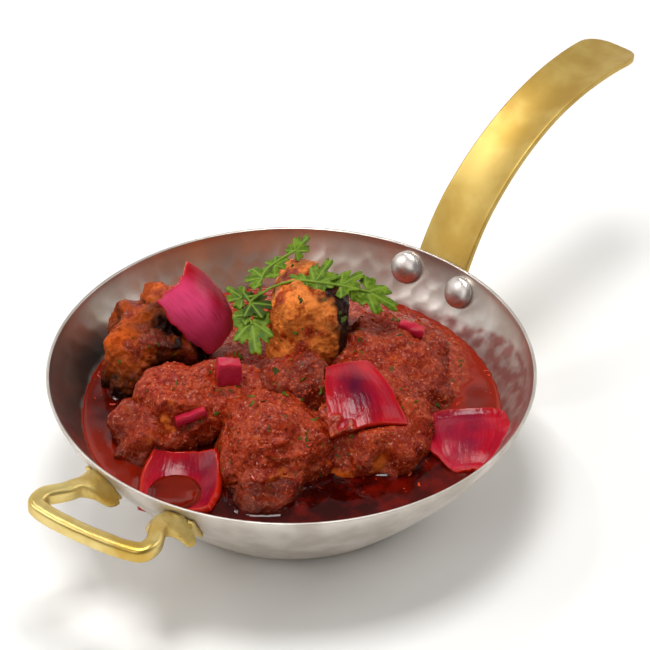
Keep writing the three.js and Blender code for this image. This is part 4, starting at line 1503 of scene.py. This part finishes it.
@dataclass
class Gravy:
    """Thick masala standing in mounds above a flat pool of red oil."""

    cells: int = 286  # points along each side of its net
    mounds: tuple = (  # for each its middle, half width and depth along the food's axes, and its height
        ((4, 8), (34, 28), 11.0),
        ((-12, 58), (34, 17), 6.0),
        ((34, 34), (28, 24), 9.0),
        ((-16, 24), (16, 20), 6.0),
    )
    skin: float = 1.6  # how far below the oil the paste lies away from the mounds
    depth: float = 5.0  # how far below the oil the piece ends
    seed: int = 300

    def _disc(self) -> tuple[Array, Array]:
        """Lays an even net over a disc of radius 1, as x and y."""
        a, b = np.meshgrid(np.linspace(-1, 1, self.cells), np.linspace(-1, 1, self.cells), indexing="ij")
        wide = np.abs(a) > np.abs(b)
        reach = np.where(wide, a, b)
        other = np.where(wide, b, a)
        turn = math.pi / 4 * other / np.where(reach == 0, 1, reach)
        near, far = reach * np.cos(turn), reach * np.sin(turn)
        return np.where(wide, near, far).ravel(), np.where(wide, far, near).ravel()

    def _rise(self, x: Array, y: Array) -> Array:
        """Gives the height of the mounds above the oil, below 0 where they are drowned."""
        c, s = math.cos(-SERVING_TURN), math.sin(-SERVING_TURN)
        right, back = x * c - y * s, x * s + y * c
        rise = np.full(len(x), -self.skin)
        for (at_x, at_y), (wide, deep), peak in self.mounds:
            rise += peak * bell(right - at_x, wide) * bell(back - at_y, deep)
        return rise

    def build(self, pan: Pan, neighbours: BVHTree) -> Piece:
        """Shapes and dresses the gravy.

        Args:
            pan: the pan that holds it.
            neighbours: the solids that stand in it.

        Returns:
            The gravy.
        """
        x, y = self._disc()
        edge = float(pan.inner_radius(OIL_LEVEL + 0.5)) + 0.25
        reach = np.hypot(x, y)
        x, y = x * edge, y * edge
        flat = np.stack([x, y, np.full(len(x), OIL_LEVEL)], 1)
        rough = layered(flat, {14: 1.0, 7: 0.8, 3.5: 0.35}, self.seed)
        paste = self._rise(x, y) - 0.9 + rough
        start = np.stack([x, y, OIL_LEVEL + np.maximum(paste, 0)], 1)
        gap = distances(neighbours, start)
        paste += 2.6 * np.exp(-gap / 3) * ease(paste, -2.0, 1.5)
        thick = ease(paste, -0.3, 1.1)
        grains = masala_relief(start + [0, 0, 1] * np.maximum(paste, 0)[:, None])
        wall_gap = (1 - reach) * edge
        meniscus = 0.75 * np.exp(-np.minimum(gap, 9) / 0.75) + 0.6 * np.exp(-wall_gap / 0.8)
        ripple = 0.035 * grain(flat, 9, self.seed + 7)
        lift = np.maximum(paste, 0) + thick * grains * ease(paste, -1.5, 4.0)
        lift = lift + (1 - thick) * (meniscus + ripple)
        rim_fall = ease(wall_gap, 0, 6)
        lift = lift * (0.25 + 0.75 * rim_fall) + 0.5 * (1 - rim_fall) * np.exp(-wall_gap / 0.8)
        top = np.stack([x, y, OIL_LEVEL + lift], 1)
        limit = pan.inner_radius(top[:, 2]) + 0.25
        shown = np.hypot(x, y)
        scale = np.where(shown > limit, limit / np.maximum(shown, 1), 1)
        top[:, :2] *= scale[:, None]
        right, back, _ = (np.stack([x, y, x], 1) @ turn_matrix((0, 0, math.degrees(SERVING_TURN)))).T
        # lighter red in the oil: on the pool's right, and in the onion cup where the oil is thin; on its left
        # a painted reflection
        lighter_oil_and_reflection = 0.45 * ease(right + 0.25 * back, 40, 56) * ease(back, -20, 0)
        lighter_oil_and_reflection = lighter_oil_and_reflection + 0.5 * ease(-right, 48, 60) * ease(-back, 2, 20)
        lighter_oil_and_reflection = lighter_oil_and_reflection + 0.5 * bell(right + 39.5, 10, 4) * bell(back + 45, 10, 4)
        by_wall = 0.35 * np.exp(-wall_gap / 2) + 0.4 * np.exp(-wall_gap / 7)
        shallow_and_reflection = ease(paste, -1.6, 0.0) * 0.6 + by_wall + lighter_oil_and_reflection
        return self._closed(top, thick, np.clip(shallow_and_reflection, 0, 1))

    def _closed(self, top: Array, thick: Array, shallow_and_reflection: Array) -> Piece:
        """Closes the surface with a skirt and a floor, and dresses it."""
        n = self.cells
        index = np.arange(n * n).reshape(n, n)
        faces = net_faces(index).tolist()
        border = net_border(index)
        skirt = top[border] * [0.93, 0.93, 1]
        skirt[:, 2] = OIL_LEVEL - self.depth
        count = len(border)
        for i in range(count):
            j = (i + 1) % count
            faces.append([int(border[i]), int(border[j]), n * n + j, n * n + i])
            faces.append([n * n + i, n * n + j, n * n + count])
        points = np.vstack([top, skirt, [0, 0, OIL_LEVEL - self.depth]])
        values = {"thick": np.pad(thick, (0, count + 1)), "shallow_and_reflection": np.pad(shallow_and_reflection, (0, count + 1))}
        piece = make_piece("masala_gravy", points, faces, values)
        return dress(piece, Masala("onion_masala").material(), "gravy", "gravy")


# ---- onion ----------------------------------------------------------------------------------------


def turn_matrix(degrees: tuple[float, float, float]) -> Array:
    """Makes a rotation about X, then Y, then Z of the turned piece.

    Args:
        degrees: the three turns.

    Returns:
        A 3 by 3 matrix.
    """
    x, y, z = (math.radians(d) for d in degrees)
    return np.array(Matrix.Rotation(x, 3, "X") @ Matrix.Rotation(y, 3, "Y") @ Matrix.Rotation(z, 3, "Z"))


@dataclass
class OnionPetal:
    """A petal of red onion: one layer of the bulb, cut across and bent both ways."""

    node: str
    at: tuple[float, float, float]
    ends: tuple[float, float]
    belly: float
    length: float
    bend: tuple[float, float]
    turn: tuple[float, float, float]
    thick: float
    seed: int
    painted_shade: tuple[float, float, float] = (0.0, 0.0, 0.0)  # how much shade is painted on its middle, right and far end
    crust: tuple[float, float, float] | None = None  # its masala crust's direction across and along, and edge
    ragged: float = 0.6
    pale: float = 0.0  # how strongly a pale pink highlight is painted on its left side
    lip: float = 0.0  # how far its outline stands above its middle in mm

    def build(self, finish: Material) -> Piece:
        """Shapes and dresses the petal.

        Args:
            finish: the material that all petals share.

        Returns:
            The petal.
        """
        widest = max(self.ends) + self.belly / 2
        u, v, lift, inset, faces = Slab(84, 84, widest, self.length, self.thick, 0.75).build()
        flat = np.stack([u * widest, v * self.length, np.zeros(len(u))], 1)
        tear = self.ragged * layered(flat, {7: 1.0, 2.5: 0.5}, self.seed)
        out = np.exp(-inset / 4)
        width = self.ends[0] + (self.ends[1] - self.ends[0]) * (v + 0.5) + self.belly * (1 - 4 * v * v)
        x = u * (width + 2 * tear * out)
        y = v * (self.length + 2 * tear * out)
        crusted = np.zeros(len(u))
        if self.crust:
            across, along, edge = self.crust
            slope = across * u + along * v + 0.2 * grain(flat, 5, self.seed + 3)
            crusted = ease(slope, edge, edge + 0.12) * (lift > 0)
        ribs = 0.05 * grain(flat * [1, 0.06, 1], 1.1, self.seed + 1) + 0.25 * grain(flat, 9, self.seed + 2)
        z = lift + ribs * np.sign(lift) + crusted * (0.5 + 0.7 * np.abs(grain(flat, 1.8, self.seed + 4)))
        z = z + self.lip * (bell(inset, 2.2) - 0.5) * (lift > 0)
        bend_x, bend_y = self.bend
        lean_x, lean_y = x / bend_x, y / bend_y
        points = np.stack(
            [
                (bend_x + z) * np.sin(lean_x),
                (bend_y + z) * np.sin(lean_y),
                z - (bend_x + z) * (1 - np.cos(lean_x)) - (bend_y + z) * (1 - np.cos(lean_y)),
            ],
            1,
        )
        points = seated(points @ turn_matrix(self.turn).T + np.array(self.at))
        values = self._values(u, v, flat, inset, lift, crusted)
        petal = make_piece(self.node.replace("onion", "petal"), points, faces, values)
        return dress(petal, finish, "onion", self.node)

    def _values(self, u: Array, v: Array, flat: Array, inset: Array, lift: Array, crusted: Array) -> dict:
        """Says where the petal is stained and crusted, and where shade and highlight are painted on it."""
        middle, right, far = self.painted_shade
        # painted shade: darker purple on the middle, the right and the far end
        painted_shade = middle * bell(u, 0.3) * bell(v, 0.4)
        painted_shade = painted_shade + right * ease(u, 0.05, 0.5) + far * ease(v, 0.0, 0.5)
        painted_shade = painted_shade + 0.25 * grain(flat, 6, self.seed + 5)
        rim = bell(inset, 0.9) * 0.9 + 0.35 * np.exp(-inset / 3) + 0.3 * (lift < 0)
        # painted highlight: pale pink, strongest on the petal's left side
        pale = self.pale * (1.1 - ease(u, -0.1, 0.45) + 0.5 * grain(flat, 9, self.seed + 6))
        return {
            "rim": np.clip(rim, 0, 1),
            "painted_shade": np.clip(painted_shade, 0, 1),
            "pale": np.clip(pale, 0, 1),
            "crust": crusted,
            "layout": flat,
        }


ONION = [
    OnionPetal("onion_standing", (-31.5, 26, 56.5), (11, 20), 9, 33, (15, 25), (60, 34, 42), 2.8, 400,
               painted_shade=(0.0, 0.5, 0.0), pale=0.9, ragged=1.6),
    OnionPetal("onion_top", (24.5, -15, 52), (30, 15), 2, 32, (30, 38), (10, 4, 16), 3.0, 420,
               painted_shade=(0.9, -0.6, 0.1), crust=(-0.7, -0.7, 0.42), lip=0.6),
    OnionPetal("onion_floating", (64.5, -21.5, 34.5), (8, 25), 13, 31, (46, 60), (9, -5, -2), 3.2, 440,
               painted_shade=(0.5, -0.7, 0.5), pale=0.1, lip=1.6, ragged=0.9),
    OnionPetal("onion_cup", (-39.5, -43, 28), (27, 24), 6, 31, (-26, -30), (10, -5, -6), 2.8, 460,
               painted_shade=(0.3, 0.6, 0.3)),
]


@dataclass
class OnionOffcut:
    """A small dice or sliver of red onion."""

    node: str
    at: tuple[float, float, float]
    half: tuple[float, float, float]
    turn: tuple[float, float, float]
    seed: int

    def build(self, finish: Material) -> Piece:
        """Shapes and dresses the offcut.

        Args:
            finish: the material that it shares with the petals.

        Returns:
            The offcut.
        """
        width, length, thick = (2 * half for half in self.half)
        u, v, lift, _, faces = Slab(30, 30, width, length, thick, 0.7).build()
        flat = np.stack([u * width, v * length, lift], 1)
        points = flat + 0.35 * np.stack([grain(flat, 3.5, self.seed + k) for k in range(3)], 1)
        points = seated(points @ turn_matrix(self.turn).T + np.array(self.at))
        values = {
            "rim": np.clip(0.2 + 0.3 * grain(flat, 3, self.seed + 4), 0, 1),
            "painted_shade": np.zeros(len(u)),
            "pale": np.full(len(u), 0.2),
            "crust": ease(grain(flat, 4, self.seed + 5) - 0.5 * lift / self.half[2], 0.5, 0.7),
            "layout": flat,
        }
        piece = make_piece(self.node.replace("onion", "dice"), points, faces, values)
        return dress(piece, finish, "onion", self.node)


OFFCUTS = [
    OnionOffcut("onion_cube", (-23, -5.5, 53), (4.5, 3.6, 4.4), (-10, 6, 8), 480),
    OnionOffcut("onion_sliver_front", (-36.5, -21, 44.5), (6, 1.8, 1.7), (0, -14, 14), 485),
    OnionOffcut("onion_sliver_right", (44.5, 29.5, 46.5), (5, 2.2, 1.8), (0, 12, -16), 490),
]


# ---- coriander ------------------------------------------------------------------------------------


@dataclass
class Leaf:
    """A coriander leaf, from where its stalk joins it to its tip."""

    base: tuple[float, float, float]
    tip: tuple[float, float, float]
    width: float
    # how much darker green is painted on it as shade, for a leaf that lies in shadow
    shade: float = 0.0

    def shape(self, seed: int) -> tuple[Array, list, Array, Array]:
        """Cuts the leaf out as a thin lobed fan.

        Args:
            seed: picks its unevenness.

        Returns:
            Points in mm, faces, veins and shade.
        """
        rays, rings, thick = 96, 9, 0.22
        turn = np.linspace(-2.35, 2.35, rays)
        lobes = ((0, 0.5, 0.4), (-0.9, 0.4, 0.36), (0.95, 0.42, 0.36), (-1.75, 0.3, 0.4), (1.8, 0.3, 0.4))
        reach = 0.5 + np.max([peak * bell(turn - at, width, 4) for at, peak, width in lobes], axis=0)
        wobble = grain(np.stack([turn * 3, turn * 0, turn * 0], 1), 1.0, seed)
        reach = reach * (0.9 + 0.18 * np.abs(np.sin(turn * 7.5 + 0.6 * wobble)) ** 0.6 + 0.14 * wobble)
        r = np.linspace(0.02, 1, rings) ** 0.85
        across = np.outer(r, reach * np.sin(turn)).ravel()
        along = np.outer(r, reach * np.cos(turn)).ravel()
        angle = np.tile(turn, rings)
        nearest = np.min([np.abs(angle - a) for a in (0, -1.05, 1.05, -1.95, 1.95)], axis=0)
        near_vein = bell(nearest * np.repeat(r, rays), 0.045)
        start, end = np.array(self.base, float), np.array(self.tip, float)
        forward = end - start
        length = np.linalg.norm(forward)
        forward /= length
        side = np.cross(forward, [0, -0.35, 0.94])
        side /= np.linalg.norm(side)
        out = np.cross(side, forward)
        half = np.max(np.abs(across))
        flat = np.stack([across * length, along * length, np.zeros(len(across))], 1)
        cup = -0.9 * np.abs(across / half) ** 1.6 - 1.1 * along**2
        cup = cup + 0.35 * grain(flat, 3.2, seed + 1) * length / 8 - 0.12 * near_vein
        middle = start + np.outer(across * self.width * 0.58 / half, side) + np.outer(along * length, forward)
        skins = [middle + np.outer(cup * 0.9 + s * thick / 2, out) for s in (1, -1)]
        index = np.arange(rays * rings).reshape(rings, rays)
        quads = net_faces(index.T)
        faces = quads.tolist() + (quads[:, ::-1] + index.size).tolist()
        border = net_border(index)
        for a, b in zip(border.tolist(), np.roll(border, -1).tolist()):
            faces.append([b, a, a + index.size, b + index.size])
        shade = np.clip(self.shade + 0.3 * grain(flat, 4, seed + 2), 0, 1)
        return seated(np.vstack(skins)), faces, np.tile(near_vein, 2), np.tile(shade, 2)


@dataclass
class Coriander:
    """A sprig of coriander laid over the top of the chicken."""

    stem_half: float = 0.5
    stems: tuple = (
        ((-19, 27, 62.5), (-12, 24.5, 66), (-7, 27.5, 67.3), (1.5, 29.5, 68.7), (11, 28.5, 68.5),
         (21.5, 29, 66), (29.5, 30.5, 62.5)),
        ((-12, 24.5, 66), (-10, 31, 71.5), (-4, 36.5, 73.5), (2, 41, 74.5)),
        ((-12, 24.5, 66), (-15, 23.5, 63.5), (-16, 19.5, 60.5), (-14.5, 16, 58.5)),
    )
    leaves: list[Leaf] = field(
        default_factory=lambda: [
            Leaf((-10.6, 29.5, 70.3), (-15, 36.5, 70), 11),
            Leaf((-6.5, 33.8, 72.8), (-1.5, 37, 74.1), 6),
            Leaf((1.3, 40.4, 74.5), (5.8, 44, 78.7), 7),
            Leaf((-18, 26.6, 62.9), (-24, 33, 63.5), 8, 0.2),
            Leaf((-15.9, 19.3, 60.5), (-21, 25.5, 61.5), 7, 0.2),
            # this leaf lies in shadow, so shade is painted on it
            Leaf((-15, 22.8, 63.3), (-6.5, 23.5, 62.5), 10, 0.75),
            Leaf((-14.7, 17.2, 59), (-13, 4.5, 54.5), 13),
            Leaf((5.5, 29.2, 68.7), (-0.5, 32, 69.9), 5),
            Leaf((8, 28.8, 68.6), (9, 25, 66.3), 6),
            Leaf((8.5, 28.7, 68.6), (14, 37.5, 72.5), 9),
            Leaf((9.5, 28.7, 68.6), (17.5, 32, 69.9), 7),
            Leaf((18, 28.9, 67.1), (26.5, 35.5, 68.5), 9),
            Leaf((22, 29.1, 65.9), (27, 27, 62), 6),
            Leaf((28, 30.3, 63.3), (39, 27.5, 58.5), 12),
        ]
    )

    def build(self) -> Piece:
        """Shapes and dresses the sprig.

        Returns:
            The sprig.
        """
        parts, veins, shades = [], [], []
        for stem in self.stems:
            path = smooth_path(list(stem), 60)
            points, faces = swept(path, lambda along: Section(self.stem_half, self.stem_half, 2), 10, False)
            parts.append((seated(points), faces))
            veins.append(0.8)
            shades.append(0.0)
        for i, leaf in enumerate(self.leaves):
            points, faces, vein, shade = leaf.shape(500 + 7 * i)
            parts.append((points, faces))
            veins.append(vein)
            shades.append(shade)
        points, faces = joined(parts)
        values = {"vein": spread(parts, veins), "shade": spread(parts, shades)}
        sprig = make_piece("coriander_leaves", points, faces, values)
        return dress(sprig, CorianderLeaf("coriander_leaf").material(), "coriander", "coriander_sprig")


# ---- scattered bits -------------------------------------------------------------------------------


@dataclass
class Landing:
    """Finds places on the food, seen from above and from the open side."""

    pieces: list[Piece]
    covers: list[Piece]  # pieces that nothing may land on
    above: float = 60.0  # how far above the rim the points start, in mm

    def __post_init__(self) -> None:
        """Prepares the pieces for ray casts."""
        graph = bpy.context.evaluated_depsgraph_get()
        self.trees = [BVHTree.FromObject(piece, graph) for piece in [*self.pieces, *self.covers]]

    def drop(self, right: float, back: float, tilt: float) -> tuple[Vector, Vector] | None:
        """Drops a point on to the food.

        Args:
            right: place along the food's right axis in mm, at the height of the rim.
            back: place along its back axis in mm, at the height of the rim.
            tilt: how far it comes from the open side, 0 for straight down.

        Returns:
            Where it lands in metres and the surface's direction, or None.
        """
        top = Pan.height + self.above
        start, away = seated(np.array([[right, back - self.above * tilt, top], [0, tilt, -1.0]]))
        best = None
        for i, tree in enumerate(self.trees):
            hit = tree.ray_cast(Vector(start * MM), Vector(away).normalized())
            if hit[0] is not None and (best is None or hit[3] < best[2]):
                best = (hit[0], hit[1], hit[3], i < len(self.pieces))
        return (best[0], best[1]) if best and best[3] else None

    def scatter(self, count: int, reach: float, lowest: float, seed: int) -> list[tuple[Vector, Vector]]:
        """Drops many points.

        Args:
            count: how many are dropped.
            reach: radius in mm within which they are dropped.
            lowest: height in mm below which they don't count.
            seed: picks where they are dropped.

        Returns:
            Places and directions of those that land.
        """
        found = []
        random = np.random.default_rng(seed)
        for _ in range(count):
            angle, share = random.uniform(0, 2 * math.pi), math.sqrt(random.uniform(0, 1))
            tilt = random.choice([0.0, 0.7, 1.3])
            hit = self.drop(reach * share * math.cos(angle), reach * share * math.sin(angle), tilt)
            if hit and hit[0].z > lowest * MM:
                found.append(hit)
        return found


def placed(shape: Array, at: Vector, normal: Vector, spin: float, scale: tuple, sink: float) -> Array:
    """Lays a small shape on a surface.

    Args:
        shape: points in mm about the origin, with +Z away from the surface.
        at: place in metres.
        normal: the surface's direction.
        spin: turn about it in radians.
        scale: size along each axis.
        sink: how far it lies in the surface in mm.

    Returns:
        Points in mm in the frame.
    """
    turn = normal.to_track_quat("Z", "Y").to_matrix() @ Matrix.Rotation(spin, 3, "Z")
    local = shape * np.array(scale) - [0, 0, sink]
    return local @ np.array(turn).T + np.array(at) / MM


@dataclass
class Bits:
    """Scattered bits of one kind, joined in one mesh."""

    name: str
    count: int
    sizes: tuple[float, float]  # smallest and largest length in mm
    slim: float  # width as a share of length
    thick: float
    lowest: float
    seed: int
    reach: float
    curl: float

    def build(self, landing: Landing, finish: Material, slot: str) -> Piece:
        """Scatters, joins and dresses the bits.

        Args:
            landing: where they may lie.
            finish: their material.
            slot: the record's material slot.

        Returns:
            The bits as one piece.
        """
        random = np.random.default_rng(self.seed + 1)
        u, v, lift, _, faces = Slab(6, 5, 1, 1, 1, 0.3).build()
        parts, shades = [], []
        for at, normal in landing.scatter(self.count, self.reach, self.lowest, self.seed):
            size = self.sizes[0] + (self.sizes[1] - self.sizes[0]) * random.uniform(0, 1) ** 2.5
            shape = np.stack([u * (1 - 0.9 * v * v), v, lift * 0.5 * self.thick], 1)
            torn = [grain(shape, 0.6, int(random.integers(1, 900))) for _ in range(2)]
            shape[:, :2] += 0.4 * np.stack(torn, 1)
            shape[:, 2] += self.curl * random.uniform(-1, 1) * u * size + 0.4 * self.curl * v * v * size
            scale = (size * self.slim, size, 1)
            parts.append((placed(shape, at, normal, random.uniform(0, 6.28), scale, -0.02 * size), faces))
            shades.append(random.uniform(0.35, 1))
        points, all_faces = joined(parts)
        values = {"vein": np.zeros(len(points)), "shade": spread(parts, shades)}
        return dress(make_piece(self.name, points, all_faces, values), finish, slot)


@dataclass
class MasalaCrumbs:
    """Coarse grains of ground onion and spice standing on the masala."""

    count: int = 1500
    sizes: tuple[float, float] = (0.35, 0.95)
    seed: int = 620

    def build(self, landing: Landing, finish: Material) -> Piece:
        """Scatters, joins and dresses the grains.

        Args:
            landing: where they may lie.
            finish: their material.

        Returns:
            The grains as one piece.
        """
        random = np.random.default_rng(self.seed + 1)
        work = bmesh.new()
        bmesh.ops.create_icosphere(work, subdivisions=2, radius=1)
        ball = np.array([v.co for v in work.verts])
        faces = [[v.index for v in face.verts] for face in work.faces]
        work.free()
        parts = []
        for at, normal in landing.scatter(self.count, 70, OIL_LEVEL + 2.5, self.seed):
            size = self.sizes[0] + (self.sizes[1] - self.sizes[0]) * random.uniform(0, 1) ** 2
            shape = ball * (1 + 0.35 * grain(ball, 0.9, int(random.integers(1, 900))))[:, None]
            scale = (size, size * random.uniform(0.6, 1.0), size * random.uniform(0.5, 0.8))
            parts.append((placed(shape, at, normal, random.uniform(0, 6.28), scale, 0.1), faces))
        points, all_faces = joined(parts)
        ones = np.ones(len(points))
        piece = make_piece("masala_crumbs", points, all_faces, {"thick": ones, "shallow_and_reflection": 0 * ones})
        return dress(piece, finish, "gravy")


# ---- assembly -------------------------------------------------------------------------------------


def build_hardware(pan: Pan) -> None:
    """Builds the pan, its rivets and its handles."""
    pan.build()
    steel = RivetSteel("rivet_steel").material()
    for index, side in enumerate((-1, 1), start=1):
        Rivet(f"rivet_handle_{index}", side, 1, 13.5, 42, 2.5, 2.3, 6, 3.5, 0.9, 4.6).build(pan, steel)
        Rivet(f"rivet_helper_{index}", side, -1, 18, 38, 2.0, 1.8, 4, 1.4, 0.5, 3).build(pan, steel)
    LongHandle().build(pan)
    HelperHandle().build(pan)


def build_food(pan: Pan) -> None:
    """Builds the chicken, gravy, onion, coriander and scattered bits."""
    meat = GrilledChicken("grilled_chicken").material()
    chicken = [piece.build(pan, meat) for piece in CHICKEN]
    standing = [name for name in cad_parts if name.startswith(("chicken", "onion"))]
    gravy = Gravy().build(pan, packed_tree(standing))
    skin = OnionFlesh("red_onion").material()
    onions = [petal.build(skin) for petal in ONION] + [offcut.build(skin) for offcut in OFFCUTS]
    Coriander().build()
    bare = [piece for piece, plan in zip(chicken, CHICKEN) if plan.coating is Coating.BARE]
    sauced = [piece for piece in chicken if piece not in bare]
    masala = Landing([*sauced, gravy], [*bare, *onions])
    food = Landing([*chicken, gravy], onions)
    MasalaCrumbs().build(masala, gravy.data.materials[0])
    leaf = CorianderLeaf("cooked_coriander", green="4C5E0C", young="68801A", dark="2E3806").material()
    chilli = ChilliSkin("chilli_skin").material()
    flecks = Bits("coriander_flecks", 340, (0.4, 2.2), 0.6, 0.2, OIL_LEVEL + 1, 640, 66, 0.25)
    wilted = Bits("wilted_leaves", 40, (1.6, 4.6), 0.5, 0.25, OIL_LEVEL + 1, 650, 56, 0.3)
    shreds = Bits("chilli_shreds", 320, (0.6, 2.8), 0.4, 0.35, OIL_LEVEL, 660, 76, 0.2)
    flecks.build(food, leaf, "coriander")
    wilted.build(food, leaf, "coriander")
    shreds.build(masala, chilli, "gravy")


def main() -> None:
    """Builds the whole scene in order."""
    logging.basicConfig(level=logging.INFO, format="%(message)s")
    Studio().build()
    pan = Pan()
    build_hardware(pan)
    build_food(pan)


if __name__ == "__main__":
    main()
